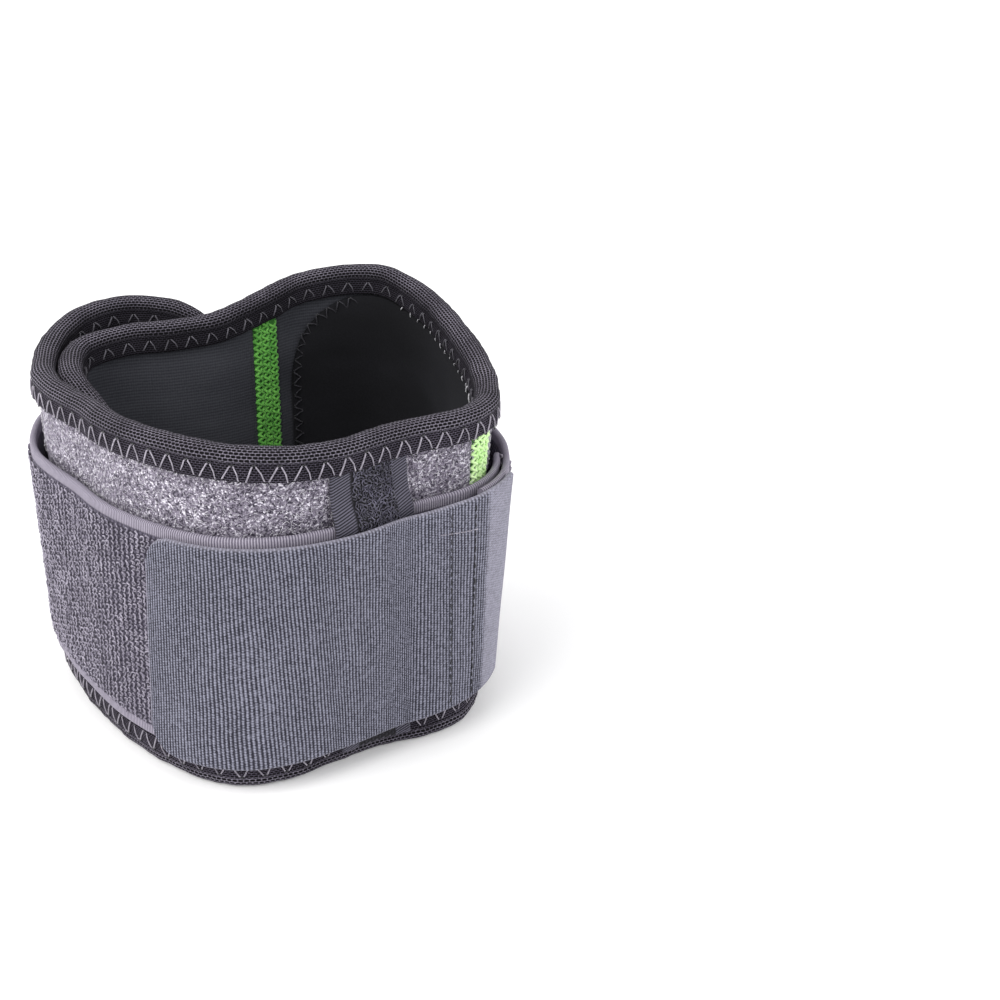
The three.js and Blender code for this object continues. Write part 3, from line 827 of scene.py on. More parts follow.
# %% Lining and cushion
for part, (start, end) in PANELS.items():
    piece, flat, area = band_layer(f"lining_{part}_knit", start, end, -HALF_BODY, LINING - HALF_BODY, rows=24)
    dress(piece, LINING_KNIT, f"lining_{part}")

pad_start, pad_end = band.length_at(PAD_START), band.length_at(PAD_END)
pad_along = columns(pad_start, pad_end, 1.5 * MM, PAD_CORNER, True, True)
pad_drop = corner_drop(np.minimum(pad_along - pad_start, pad_end - pad_along), PAD_CORNER)
pad_low = FLAP + CLEAR + pad_drop
pad_high = top_at(band.turn_at(pad_along)) - FLAP - CLEAR - pad_drop
pad_back = -HALF_BODY - CLEAR
pad_wave = ripple(11, 7, 12 * MM, 30 * MM)


def puffed(length, height, out):
    """The cushion's face swells away from its sewn edge; its back stays flat."""
    low = np.interp(length, pad_along, pad_low)
    high = np.interp(length, pad_along, pad_high)
    rim = np.minimum.reduce([height - low, high - height, length - pad_start, pad_end - length])
    share = np.clip(rim / (9 * MM), 0, 1)
    crown = (PAD - PAD_EDGE) * np.sin(share * math.pi / 2) * (1 + 0.12 * pad_wave(length, height))
    front = np.clip((pad_back - out) / PAD_EDGE, 0, 1)
    return band_point(length, height, out - crown * front)


cushion = strip("cushion", pad_along, puffed, pad_low, pad_high, pad_back - PAD_EDGE, pad_back, 48)
dress(cushion, PAD_KNIT, "elbow_pad")

# %% [markdown]
# ## The knitted binding
# One folded tape goes round the whole strip, over a soft cord of its own turned edge. Its section
# is swept round the strip's outline. The stitches pull a shallow groove between roll and flap, and
# on the inside of a bend the spare cloth gathers into short slanting folds.

# %% Binding
SECTION = np.array([
    (6.8, 2.3), (6.74, 2.72), (6.5, 2.94), (6.0, 3.0), (5.4, 2.98), (4.9, 2.94), (4.4, 2.84),
    (3.9, 2.7), (3.45, 2.62), (3.0, 2.66), (2.55, 2.74), (2.05, 2.76), (1.55, 2.66), (1.05, 2.38),
    (0.6, 1.9), (0.26, 1.24), (0.06, 0.55), (0.0, 0.0),
]) * MM
SECTION = np.vstack([SECTION, (SECTION * (1, -1))[-2::-1]])
CAVITY = np.array([
    (6.6, -2.15), (3.4, -2.15), (1.4, -2.1), (0.8, -1.5), (0.8, 1.5), (1.4, 2.1), (3.4, 2.15), (6.6, 2.15),
]) * MM


def outline_path(step):
    """The strip's outline: along the foot, up the outer end, back along the rim, down again.

    Each entry is the length along the strip, the height above the foot or below the rim, which
    edge it is measured from, and the direction into the strip."""
    total = band.total
    straight = steps(CORNER, total - CORNER, step)
    angles = np.radians(np.linspace(0, 90, 14)[1:-1])
    end_top, start_top = top_at(BAND["turn"][-1]), top_at(BAND["turn"][0])
    rows = [(length, 0, 0, 0, 1) for length in straight]
    rows += [(total - CORNER * (1 - math.sin(a)), CORNER * (1 - math.cos(a)), 0, -math.sin(a), math.cos(a))
             for a in angles]
    rows += [(total, z, 0, -1, 0) for z in steps(CORNER, end_top - CORNER, step)]
    rows += [(total - CORNER * (1 - math.cos(a)), -CORNER * (1 - math.sin(a)), 1, -math.cos(a), -math.sin(a))
             for a in angles]
    rows += [(length, 0, 1, 0, -1) for length in straight[::-1]]
    rows += [(CORNER * (1 - math.sin(a)), -CORNER * (1 - math.cos(a)), 1, math.sin(a), -math.cos(a))
             for a in angles]
    rows += [(0, z, 0, 1, 0) for z in steps(CORNER, start_top - CORNER, step)[::-1]]
    rows += [(CORNER * (1 - math.cos(a)), CORNER * (1 - math.sin(a)), 0, math.cos(a), math.sin(a))
             for a in angles]
    return np.array(rows).T


def on_edge(rows, inward, out):
    """A point a distance in from the outline and a distance out from the middle surface."""
    length, rise, from_top, along, up = (row[:, None] for row in rows)
    turn = band.turn_at(length + inward * along)
    level = np.where(from_top > 0, top_at(turn), 0) + rise + inward * up
    return on_band(turn, level, out)


edge_rows = outline_path(0.9 * MM)
crest = on_edge(edge_rows, np.zeros((1, 1)), np.zeros((1, 1)))[:, 0]
edge_run = np.concatenate([[0], np.cumsum(np.linalg.norm(np.diff(crest, axis=0), axis=1))])
edge_total = edge_run[-1] + np.linalg.norm(crest[0] - crest[-1])

across = np.concatenate([[0], np.cumsum(np.linalg.norm(np.diff(SECTION, axis=0), axis=1))])
across -= across[len(SECTION) // 2]
lumps = ripple(5, 8, 5 * MM, 17 * MM)
fine_lumps = ripple(6, 8, 2.2 * MM, 5 * MM)


def gathers(turn, share_in):
    """Short slanting folds where the band bends sharply inwards, on the inner flap."""
    tight = np.exp(-((turn - 302) / 11) ** 2) + 0.5 * np.exp(-((turn - 214) / 12) ** 2)
    return tight * share_in


inward = SECTION[:, 0][None, :] + 0 * edge_run[:, None]
out = SECTION[:, 1][None, :] + 0 * edge_run[:, None]
run = edge_run[:, None] + 0 * inward
soft = 0.09 * MM * lumps(run, across[None, :] * 1.4) + 0.05 * MM * fine_lumps(run, across[None, :])
edge_turn = band.turn_at(edge_rows[0])[:, None] + 0 * inward
inner_side = np.clip(across[None, :] / (4 * MM), 0, 1)
fold_wave = np.sin((run + 0.9 * across[None, :]) * 2 * math.pi / (2.6 * MM))
soft = soft + 0.22 * MM * fold_wave * gathers(edge_turn, inner_side)
swollen = np.clip(1 - np.abs(np.abs(across) - 0) / (4 * MM), 0, 1)[None, :]
on_floor = (edge_rows[2] == 0)[:, None] & (inward < 0.4 * MM)
out = out + np.sign(out) * soft * np.clip(np.abs(out) / (1.2 * MM), 0, 1)
inward = np.where(on_floor, np.maximum(inward, 0), inward - soft * swollen * 0.5)
inward = np.where((edge_rows[2] == 0)[:, None], np.maximum(inward, 0), inward)

ring_in = np.concatenate([inward, np.broadcast_to(CAVITY[:, 0], (len(run), len(CAVITY)))], axis=1)
ring_out = np.concatenate([out, np.broadcast_to(CAVITY[:, 1], (len(run), len(CAVITY)))], axis=1)
points = on_edge(edge_rows, ring_in, ring_out)
ring = np.concatenate([across, np.full(len(CAVITY), across[-1])])
# The first ring is repeated at the end, so that the UV map runs on instead of jumping back. The
# two are welded afterwards
points = np.concatenate([points, points[:1]])
binding = as_object(
    "binding",
    points.reshape(-1, 3),
    ring_faces(len(points), len(ring), False)[:-2],
    np.repeat(np.append(edge_run, edge_total), len(ring)),
    np.tile(ring, len(points)),
)
shell = bmesh.new()
shell.from_mesh(binding.data)
bmesh.ops.remove_doubles(shell, verts=shell.verts, dist=1e-7)
shell.to_mesh(binding.data)
shell.free()
outward(binding)
dress(binding, BINDING_MESH, "edge_binding")
print(f"binding {edge_total / MM:.0f} mm round, {len(binding.data.polygons)} faces")

# %% [markdown]
# ## The loop strap
# The strap is a flat tape on the tape's guide. Its outer face gets real loops later. It starts at
# the right front and ends under the tail.

# %% Strap, tail and keeper bodies


def tape_point(length, up, out):
    return on_tape(tape.turn_at(length), up, out)


tail_start = tape.length_at(TAIL_START)
strap_along = steps(0, tail_start + LAP, 1.6 * MM)
slack = ripple(21, 7, 14 * MM, 40 * MM)
strap = strip(
    "strap", strap_along, tape_point, 0, TAPE_WIDTH, STRAP_INNER, STRAP_OUTER, 30,
    relief=lambda u, v: 0.07 * MM * slack(u, v),
)
dress(strap, STRAP_CLOTH, "loop_strap")

# %% [markdown]
# ## The hook tail
# The tail's ribs are real relief, 0.7 mm apart: the grid has six columns for each, and a cosine
# lifts them. Towards its start the tape is smooth. The attributes `rib` and `cut_edge` tell
# the finish where the ribs and the heat-cut edge are.

# %% Tail
RIBS_FROM = 8 * MM
tail_along = np.concatenate([
    steps(tail_start, tape.total - 0.15 * MM, RIB / 6), tape.total - np.array([0.09, 0.04, 0.01, 0]) * MM,
])
tail_drop = corner_drop(tape.total - tail_along, TAIL_CORNER)
tail_wave = ripple(31, 6, 12 * MM, 34 * MM)


def ribbed(u, v):
    """How strongly the ribs stand out: none near the tape's start or at its edges."""
    begin = np.clip((u - tail_start - RIBS_FROM) / (1.5 * MM), 0, 1)
    return begin * np.clip((tape.total - u) / (0.5 * MM), 0, 1) + 0 * v


def rib_height(u, v):
    drift = 0.06 * MM * tail_wave(u * 0.5, v * 2)
    return 0.5 - 0.5 * np.cos(2 * math.pi * (u + drift) / RIB)


tail = strip(
    "tail", tail_along, tape_point, tail_drop, TAPE_WIDTH - tail_drop, TAIL_INNER, TAIL_INNER + TAPE, 30,
    relief=lambda u, v: ribbed(u, v) * 0.16 * MM * (rib_height(u, v) - 0.6) + 0.06 * MM * tail_wave(u, v),
)
uv = np.zeros(len(tail.data.loops) * 2)
tail.data.uv_layers["cloth"].data.foreach_get("uv", uv)
corners = np.zeros(len(tail.data.loops), int)
tail.data.loops.foreach_get("vertex_index", corners)
tail_u, tail_v = np.zeros(len(tail.data.vertices)), np.zeros(len(tail.data.vertices))
tail_u[corners], tail_v[corners] = uv[::2], uv[1::2]
drop_here = corner_drop(tape.total - tail_u, TAIL_CORNER)
rim = np.minimum.reduce([tail_v - drop_here, TAPE_WIDTH - drop_here - tail_v, tape.total - tail_u])
plain = 1 - np.clip((tail_u - tail_start - RIBS_FROM) / (1.5 * MM), 0, 1)
for name, values in (
    ("rib", rib_height(tail_u, tail_v) * ribbed(tail_u, tail_v) + 0.62 * (1 - ribbed(tail_u, tail_v))),
    ("cut_edge", np.maximum(np.clip(1 - rim / (0.45 * MM), 0, 1) * 0.5, plain * 0.3)),
):
    layer = tail.data.attributes.new(name, "FLOAT", "POINT")
    layer.data.foreach_set("value", values.astype(np.float32))
dress(tail, TAIL_CLOTH, "hook_tail")

# %% [markdown]
# ## The keeper
# The keeper is a short piece of tape, sewn under the upper binding, that bows out over the strap
# and is sewn down again below it.

# %% Keeper
keeper_middle = band.length_at(KEEPER_TURN)
keeper_low = float(lift_at(np.array([float(KEEPER_TURN)]))[0])
keeper_high = keeper_low + TAPE_WIDTH
upper_end = float(top_at(np.array([float(KEEPER_TURN)]))[0]) - FLAP - CLEAR
lower_end = keeper_low / 3
keeper_foot = ROLL + CLEAR
knee = CLEAR + KEEPER
# Height and offset of the keeper's inner face, from its lower end to its upper end
KEEPER_LINE = np.array([
    (lower_end, keeper_foot), (keeper_low - knee, keeper_foot), (keeper_low - CLEAR, TAIL_INNER),
    (keeper_high + CLEAR, TAIL_INNER), (keeper_high + 3 * knee, FLAP_INNER + 0.5 * MM),
    (upper_end - 2 * MM, FLAP_INNER), (upper_end + 1.5 * MM, FLAP_INNER),
])
run_ = np.concatenate([[0], np.cumsum(np.linalg.norm(np.diff(KEEPER_LINE, axis=0), axis=1))])
fine = steps(0, run_[-1], 1.0 * MM)
line = np.stack([np.interp(fine, run_, KEEPER_LINE[:, k]) for k in (0, 1)], -1)
kernel = np.ones(5) / 5
padded_line = np.concatenate([np.repeat(line[:1], 2, 0), line, np.repeat(line[-1:], 2, 0)])
line = np.stack([np.convolve(padded_line[:, k], kernel, "valid") for k in (0, 1)], -1)


def keeper_point(along, side, out):
    """along runs up the keeper, side runs across it."""
    height = np.interp(along, fine, line[:, 0])
    base = np.interp(along, fine, line[:, 1])
    flare = 1 + 0.05 * np.sin(np.clip(along / fine[-1], 0, 1) * math.pi)
    return on_band(band.turn_at(keeper_middle + (side - KEEPER_WIDTH / 2) * flare), height, base + out)


keeper = strip("keeper", fine, keeper_point, 0, KEEPER_WIDTH, 0, KEEPER, 24,
               relief=lambda u, v: 0.06 * MM * slack(u * 2, v * 2))
# The keeper's length is its u, and its selvages run along it
dress(keeper, KEEPER_CLOTH, "keeper_loop")

# %% [markdown]
# ## The green seams
# The panels meet edge to edge, and a flat seam covers the join: a green ground with thick yarn
# crossing over it on both faces.

# %% Seam grounds
for name, middle in (("seam_back", back_seam), ("seam_front", front_seam)):
    half = SEAM_WIDTH / 2
    piece, flat, area = band_layer(f"{name}_ground", middle - half, middle + half, -HALF_BODY, HALF_BODY, step=0.7 * MM)
    dress(piece, GREEN_GROUND if name == "seam_back" else GREEN_SHADE, name)

# %% [markdown]
# ## Stitches, loops and nap
# What repeats is grown with Geometry Nodes. A guide says where: a line for a row of stitches, loose
# points for the loops of a tape, a patch of cloth for its nap. Each guide carries the direction
# `outward` from the cloth. One short thread is the pattern, and the tree sets a copy at each place,
# turned to the guide, with a little seeded disorder. Realize Instances makes it a plain mesh.

# %% Trees that set copies


def new_tree(name, settings):
    """An empty tree with named inputs: (label, kind, value)."""
    tree = bpy.data.node_groups.new(name, "GeometryNodeTree")
    tree.interface.new_socket("Guide", in_out="INPUT", socket_type="NodeSocketGeometry")
    for label, kind, value in settings:
        socket = tree.interface.new_socket(label, in_out="INPUT", socket_type=f"NodeSocket{kind}")
        if value is not None:
            socket.default_value = value
    tree.interface.new_socket("Piece", in_out="OUTPUT", socket_type="NodeSocketGeometry")
    return tree, tree.nodes.new("NodeGroupInput"), tree.nodes.new("NodeGroupOutput")


def add_node(tree, kind, links=(), **settings):
    """A node with its settings, and links given as (socket, input name or number)."""
    node = tree.nodes.new(kind)
    for name, value in settings.items():
        setattr(node, name, value)
    for socket, where in links:
        tree.links.new(socket, node.inputs[where])
    return node


def named(tree, name):
    node = add_node(tree, "GeometryNodeInputNamedAttribute", data_type="FLOAT_VECTOR")
    node.inputs["Name"].default_value = name
    return node.outputs["Attribute"]


COPY_SETTINGS = [
    ("Pattern", "Object", None), ("Thread", "Material", None), ("Lean", "Float", 0.06),
    ("Spin", "Float", 0.06), ("Uneven", "Float", 0.05), ("Seed", "Int", 1),
]


def set_copies(tree, source, sink, places, outward_, along):
    """The common end of all trees: turned copies at the places, realized, with their thread."""
    facing = add_node(tree, "FunctionNodeAxesToRotation", [(outward_, 0), (along, 1)],
                      primary_axis="Z", secondary_axis="X")
    swing = add_node(tree, "ShaderNodeCombineXYZ", [
        (source.outputs["Lean"], 0), (source.outputs["Lean"], 1), (source.outputs["Spin"], 2)])
    other = add_node(tree, "ShaderNodeVectorMath", [(swing.outputs[0], 0)], operation="SCALE")
    other.inputs["Scale"].default_value = -1
    chance = add_node(tree, "FunctionNodeRandomValue", [
        (other.outputs[0], 0), (swing.outputs[0], 1), (source.outputs["Seed"], "Seed")], data_type="FLOAT_VECTOR")
    turned = add_node(tree, "FunctionNodeEulerToRotation", [(chance.outputs[0], 0)])
    both = add_node(tree, "FunctionNodeRotateRotation", [(facing.outputs[0], 0), (turned.outputs[0], 1)],
                    rotation_space="LOCAL")
    least = add_node(tree, "ShaderNodeMath", [(source.outputs["Uneven"], 1)], operation="SUBTRACT")
    least.inputs[0].default_value = 1
    most = add_node(tree, "ShaderNodeMath", [(source.outputs["Uneven"], 1)], operation="ADD")
    most.inputs[0].default_value = 1
    size = add_node(tree, "FunctionNodeRandomValue", [
        (least.outputs[0], 2), (most.outputs[0], 3), (source.outputs["Seed"], "Seed")], data_type="FLOAT")
    what = add_node(tree, "GeometryNodeObjectInfo", [(source.outputs["Pattern"], 0)])
    copies = add_node(tree, "GeometryNodeInstanceOnPoints", [
        (places, "Points"), (what.outputs["Geometry"], "Instance"), (both.outputs[0], "Rotation"),
        (size.outputs[1], "Scale")])
    real = add_node(tree, "GeometryNodeRealizeInstances", [(copies.outputs[0], 0)])
    paint = add_node(tree, "GeometryNodeSetMaterial", [
        (real.outputs[0], "Geometry"), (source.outputs["Thread"], "Material")])
    tree.links.new(paint.outputs[0], sink.inputs[0])


def row_tree():
    """Copies along a line, a pitch apart."""
    tree, source, sink = new_tree("stitch_row", [("Pitch", "Float", 4.4 * MM), *COPY_SETTINGS])
    line_ = add_node(tree, "GeometryNodeMeshToCurve", [(source.outputs["Guide"], 0)])
    even = add_node(tree, "GeometryNodeResampleCurve", [
        (line_.outputs[0], "Curve"), (source.outputs["Pitch"], "Length")], mode="LENGTH")
    tangent = add_node(tree, "GeometryNodeInputTangent")
    set_copies(tree, source, sink, even.outputs[0], named(tree, "outward"), tangent.outputs[0])
    return tree


def field_tree():
    """A copy at each loose point of the guide."""
    tree, source, sink = new_tree("loop_field", COPY_SETTINGS)
    set_copies(tree, source, sink, source.outputs["Guide"], named(tree, "outward"), named(tree, "along"))
    return tree


def nap_tree():
    """Copies scattered over a patch of cloth, so many to a square metre."""
    tree, source, sink = new_tree("nap", [("Density", "Float", 1e6), *COPY_SETTINGS])
    spots = add_node(tree, "GeometryNodeDistributePointsOnFaces", [
        (source.outputs["Guide"], "Mesh"), (source.outputs["Density"], "Density"), (source.outputs["Seed"], "Seed")])
    kept = add_node(tree, "GeometryNodeStoreNamedAttribute", [
        (spots.outputs["Points"], "Geometry"), (spots.outputs["Normal"], "Value")], data_type="FLOAT_VECTOR")
    kept.inputs["Name"].default_value = "outward"
    upright = add_node(tree, "ShaderNodeCombineXYZ")
    upright.inputs[2].default_value = 1
    set_copies(tree, source, sink, kept.outputs[0], named(tree, "outward"), upright.outputs[0])
    return tree


ROW, FIELD, NAP = row_tree(), field_tree(), nap_tree()


def guide_mesh(name, points, outward_, along=None, joined=True):
    """A line or loose points with their directions."""
    mesh = bpy.data.meshes.new(name)
    count = len(points)
    mesh.from_pydata([tuple(p) for p in points], [(k, k + 1) for k in range(count - 1)] if joined else [], [])
    for label, values in (("outward", outward_), ("along", along)):
        if values is not None:
            layer = mesh.attributes.new(label, "FLOAT_VECTOR", "POINT")
            layer.data.foreach_set("vector", np.asarray(values, np.float32).ravel())
    return mesh


def grow(name, guide, tree, settings):
    """Runs a tree on a guide and keeps the result as a plain mesh object."""
    piece = bpy.data.objects.new(name, guide)
    bpy.context.collection.objects.link(piece)
    modifier = piece.modifiers.new("grow", "NODES")
    modifier.node_group = tree
    for item in tree.interface.items_tree:
        if item.in_out == "INPUT" and item.name in settings:
            modifier[item.identifier] = settings[item.name]
    shown = piece.evaluated_get(bpy.context.evaluated_depsgraph_get())
    mesh = bpy.data.meshes.new_from_object(shown)
    piece.modifiers.remove(modifier)
    piece.data = mesh
    mesh.name = name
    print(name, len(mesh.polygons), "faces")
    return piece


def thread(name, points, radius, sides=5, smooth=3):
    """A thread through points, as a closed tube."""
    points = np.array(points, float) * MM
    place = np.linspace(0, len(points) - 1, (len(points) - 1) * smooth + 1)
    line_ = smooth_path(points, place)
    along = np.gradient(line_, axis=0)
    along /= np.linalg.norm(along, axis=1)[:, None]
    side = np.array([0.12, 0.2, 1.0])
    rings = []
    for spot, ahead in zip(line_, along):
        side = side - ahead * side.dot(ahead)
        side /= np.linalg.norm(side)
        up = np.cross(ahead, side)
        turn = np.linspace(0, 2 * math.pi, sides, endpoint=False)[:, None]
        rings.append(spot + (np.cos(turn) * side + np.sin(turn) * up) * radius * MM)
    piece = as_object(name, np.concatenate(rings), ring_faces(len(rings), sides, False))
    return outward(piece)


def unit(vectors):
    return vectors / np.linalg.norm(vectors, axis=-1)[..., None]


def sew(name, pattern, tree, guide, material, node_slot, **settings):
    """Grows a piece from a pattern and attaches it to the root body."""
    settings = {name_.replace("_", " ").title(): value for name_, value in settings.items()}
    piece = grow(name, guide, tree, {"Pattern": pattern, "Thread": material, **settings})
    return dress(piece, None, None)


# %% [markdown]
# ## Zigzag along the binding
# One zigzag row holds both flaps of the binding, so its threads show on the outer and on the inner
# face: a straight leg, a point near the roll, and a leg that bows a little. Dark discs of painted
# shade sit at its points, at the needle holes.

# %% Zigzag rows


def joined_pattern(name, pieces):
    """Several patterns as one."""
    mesh = bmesh.new()
    for piece in pieces:
        mesh.from_mesh(piece.data)
        bpy.data.objects.remove(piece)
    whole = bpy.data.meshes.new(name)
    mesh.to_mesh(whole)
    mesh.free()
    piece = bpy.data.objects.new(name, whole)
    bpy.context.collection.objects.link(piece)
    return piece


def zigzag_pattern(name, tall, wide, radius):
    """Two legs that nearly meet at the top. Each dives into the cloth at both ends."""
    left = [(-1, -0.5, -0.3), (-0.95, -0.46, 0.1), (-0.6, 0.0, 0.2), (-0.26, 0.44, 0.14), (-0.14, 0.5, -0.25)]
    right = [(0.14, 0.52, -0.25), (0.24, 0.47, 0.12), (0.68, 0.05, 0.2), (0.9, -0.42, 0.12), (0.98, -0.5, -0.3)]
    return joined_pattern(name, [
        thread(f"{name}_{k}", [(x * wide / 2, y * tall, z) for x, y, z in leg], thick, sides=5, smooth=1)
        for k, (leg, thick) in enumerate(((left, radius * 1.1), (right, radius * 0.95)))
    ])


zigzag = zigzag_pattern("zigzag_pattern", 3.2, 3.8, 0.16)
small_zigzag = zigzag_pattern("small_zigzag_pattern", 2.1, 3.0, 0.15)


def shade_pits(name, spots, size):
    """Painted shade at needle holes: dark, thin closed discs on the cloth."""
    sides = 6
    angles = np.linspace(0, 2 * math.pi, sides + 1)[:-1]
    points, faces = [], []
    for x, y in spots:
        first = len(points)
        for level in (-0.1, 0.03):
            points += [(x + size * math.cos(a), y + size * 0.8 * math.sin(a), level) for a in angles]
        faces.append([first + k for k in range(sides)][::-1])
        faces.append([first + sides + k for k in range(sides)])
        for k in range(sides):
            after = (k + 1) % sides
            faces.append([first + k, first + after, first + sides + after, first + sides + k])
    return as_object(name, np.array(points) * MM, faces)


holes = shade_pits("hole_pattern", [(-0.2, 1.8), (0.25, 1.85), (-1.95, -1.75), (1.9, -1.75)], 0.24)


def edge_guide(name, rows, inward_, out_, facing):
    """A line on one face of the binding, that distance in from the edge."""
    one = np.ones((1, 1))
    spot = on_edge(rows, inward_ * one, out_ * one)[:, 0]
    lifted = on_edge(rows, inward_ * one, (out_ + facing * 0.2 * MM) * one)[:, 0]
    return guide_mesh(name, spot, unit(lifted - spot))


around = np.concatenate([edge_rows, edge_rows[:, :1]], axis=1)
# The zigzag's inner face takes the darker copy of the pale thread, as painted shade
for face, facing, order, main, colour in (
    ("outer", 1, 1, zigzag, PALE_THREAD), ("inner", -1, -1, small_zigzag, SHADED_PALE_THREAD),
):
    # The dark discs at the needle holes are painted shade
    for part, pattern, finish in (("zigzag", main, colour), ("needle_holes", holes, DARK_THREAD)):
        if (part, face) == ("needle_holes", "inner"):
            continue
        line_guide = edge_guide(f"{part}_{face}_guide", around[:, ::order], 4.9 * MM, facing * 2.94 * MM, facing)
        sew(f"{part}_{face}", pattern, ROW, line_guide, finish, "binding",
            pitch=4.9 * MM, lean=0.03, spin=0.1, uneven=0.08, seed=4)

# %% [markdown]
# ## Green yarn of the seams
# A flat seam lays thick yarn in crosses over the join. Three columns of crosses, with the middle
# one half a step up, leave the small dark holes of a lattice.

# %% Seam yarn
cross_a = [(-0.95, -1.3, -0.25), (-0.6, -0.85, 0.12), (0.0, 0.0, 0.34), (0.6, 0.85, 0.12), (0.95, 1.3, -0.25)]
yarn_up = thread("yarn_up_pattern", cross_a, 0.36, sides=6, smooth=2)
yarn_down = thread("yarn_down_pattern", [(x, -y, z - 0.12) for x, y, z in cross_a], 0.36, sides=6, smooth=2)

for name, middle in (("seam_back", back_seam), ("seam_front", front_seam)):
    turn = float(band.turn_at(middle))
    top = float(top_at(turn)) - FLAP - 0.4 * MM
    for face, facing in (("outer", 1), ("inner", -1)):
        spots, normals, ways = [], [], []
        for k, offset in enumerate((-2.35, 0.0, 2.35)):
            heights = np.arange(FLAP + (0.5 + 0.85 * (k % 2)) * MM, top, 1.7 * MM)
            base = on_band(band.turn_at(middle + offset * MM), heights, facing * (HALF_BODY + 0.1 * MM))
            lifted = on_band(band.turn_at(middle + offset * MM), heights, facing * (HALF_BODY + 0.3 * MM))
            spots.append(base)
            normals.append(unit(lifted - base))
            ways.append(np.tile([0.0, 0.0, 1.0], (len(base), 1)))
        spots, normals, ways = map(np.concatenate, (spots, normals, ways))
        # All faces but the front seam's outer one take the darker copy of the yarn, as painted shade
        colour = GREEN_BRIGHT if (name, face) == ("seam_front", "outer") else GREEN_YARN_SHADED
        for lean, pattern in (("up", yarn_up), ("down", yarn_down)):
            field = guide_mesh(f"{name}_{face}_{lean}_guide", spots, normals, ways, joined=False)
            sew(f"{name}_{face}_{lean}", pattern, FIELD, field, colour, "seam",
                lean=0.08, spin=0.12, uneven=0.07, seed=9)

# %% [markdown]
# ## Loops of the tapes
# The hook tail grips real loops. On the strap they stand in staggered rows, each an arch of yarn
# that leans one way; on the keeper they are curls. Where the tail covers the strap, no loop shows,
# so none is made there but in the strip that stands above the tail.

# %% Strap and keeper loops
ARCH = np.array([
    (0.6, 0.45, -0.35), (0.15, 0.62, 0.35), (-0.5, 0.4, 0.5), (-0.55, -0.12, 0.45), (0.0, -0.36, 0.55),
    (0.5, -0.15, 0.35), (0.68, 0.05, -0.35),
])
arch = thread("arch_pattern", ARCH, 0.17, sides=3, smooth=1)
small_arch = thread("small_arch_pattern", ARCH * 0.75, 0.14, sides=3, smooth=1)


def tape_field(name, start, end, low, high, pitch_u, pitch_v):
    """Points on the tape's outer face, in columns that are staggered by half a step."""
    spots, normals, ways = [], [], []
    for k, along_ in enumerate(np.arange(start, end, pitch_u)):
        up = np.arange(low + (k % 2) * pitch_v / 2, high, pitch_v)
        base = tape_point(along_, up, STRAP_OUTER)
        lifted = tape_point(along_, up, STRAP_OUTER + 0.2 * MM)
        ahead = tape_point(along_ + 0.2 * MM, up, STRAP_OUTER)
        spots.append(base)
        normals.append(unit(lifted - base))
        ways.append(unit(ahead - base))
    spots, normals, ways = map(np.concatenate, (spots, normals, ways))
    return guide_mesh(name, spots, normals, ways, joined=False)


shown_from = float(tape.length_at(384))
cuts = np.linspace(shown_from, tail_start + 1 * MM, 4)
for k in range(3):
    field = tape_field(f"strap_loops_guide_{k}", cuts[k], cuts[k + 1], 3.2 * MM, 47.4 * MM, 1.6 * MM, 1.25 * MM)
    sew(f"strap_loops_{k}", arch, FIELD, field, LOOP_YARN, "loop_tape", lean=0.3, spin=0.5, uneven=0.18, seed=12 + k)
field = tape_field("strap_top_loops_guide", 1.5 * MM, shown_from, 41.5 * MM, 47.4 * MM, 1.3 * MM, 1.35 * MM)
sew("strap_top_loops", arch, FIELD, field, KEEPER_YARN, "loop_tape", lean=0.5, spin=1.2, uneven=0.2, seed=18)

side, run_up = np.meshgrid(np.arange(4.6, 14.6, 0.85) * MM, np.arange(fine[-1] - 22 * MM, fine[-1] - 1 * MM, 0.85 * MM), indexing="ij")
stagger = 0.5 * MM * (np.arange(side.shape[0]) % 2)[:, None]
side, run_up = side.ravel(), (run_up + stagger).ravel()
base = keeper_point(run_up, side, KEEPER + 0 * side)
normal = unit(keeper_point(run_up, side, KEEPER + 0.2 * MM + 0 * side) - base)
ahead = unit(keeper_point(run_up + 0.2 * MM, side, KEEPER + 0 * side) - base)
field = guide_mesh("keeper_loops_guide", base, normal, ahead, joined=False)
sew("keeper_loops", small_arch, FIELD, field, KEEPER_YARN, "keeper", lean=0.5, spin=3.1, uneven=0.25, seed=14)

# %% [markdown]
# ## Nap of the brushed cloth
# The brushed cloth's bright specks are short filaments. A patch of its visible strip above the
# tape is strewn with them, at every angle.

# %% Nap
filament = thread("filament_pattern", [(-0.5, 0, -0.05), (-0.1, 0.1, 0.2), (0.45, -0.05, 0.12)], 0.06, sides=3, smooth=1)
nap_turns = np.linspace(46, 524, 420)
nap_low = np.where(nap_turns > STRAP_START, lift_at(nap_turns) + TAPE_WIDTH - 2 * MM, 8 * MM)
nap_low = np.where(nap_turns < STRAP_START, lift_at(np.clip(nap_turns + 360, STRAP_START, TAIL_END)) + TAPE_WIDTH - 2 * MM, nap_low)
nap_high = top_at(nap_turns) - FLAP
rise = np.linspace(0, 1, 6)[None, :]
patch = on_band(nap_turns[:, None], nap_low[:, None] + (nap_high - nap_low)[:, None] * rise, HALF_BODY + 0.08 * MM)
rows_, across_ = patch.shape[:2]
i, j = np.meshgrid(np.arange(rows_ - 1), np.arange(across_ - 1), indexing="ij")
a = (i * across_ + j).ravel()
quads = np.stack([a, a + 1, a + across_ + 1, a + across_], -1)
nap_guide = bpy.data.meshes.new("nap_guide")
nap_guide.from_pydata([tuple(p) for p in patch.reshape(-1, 3)], [], quads.tolist())
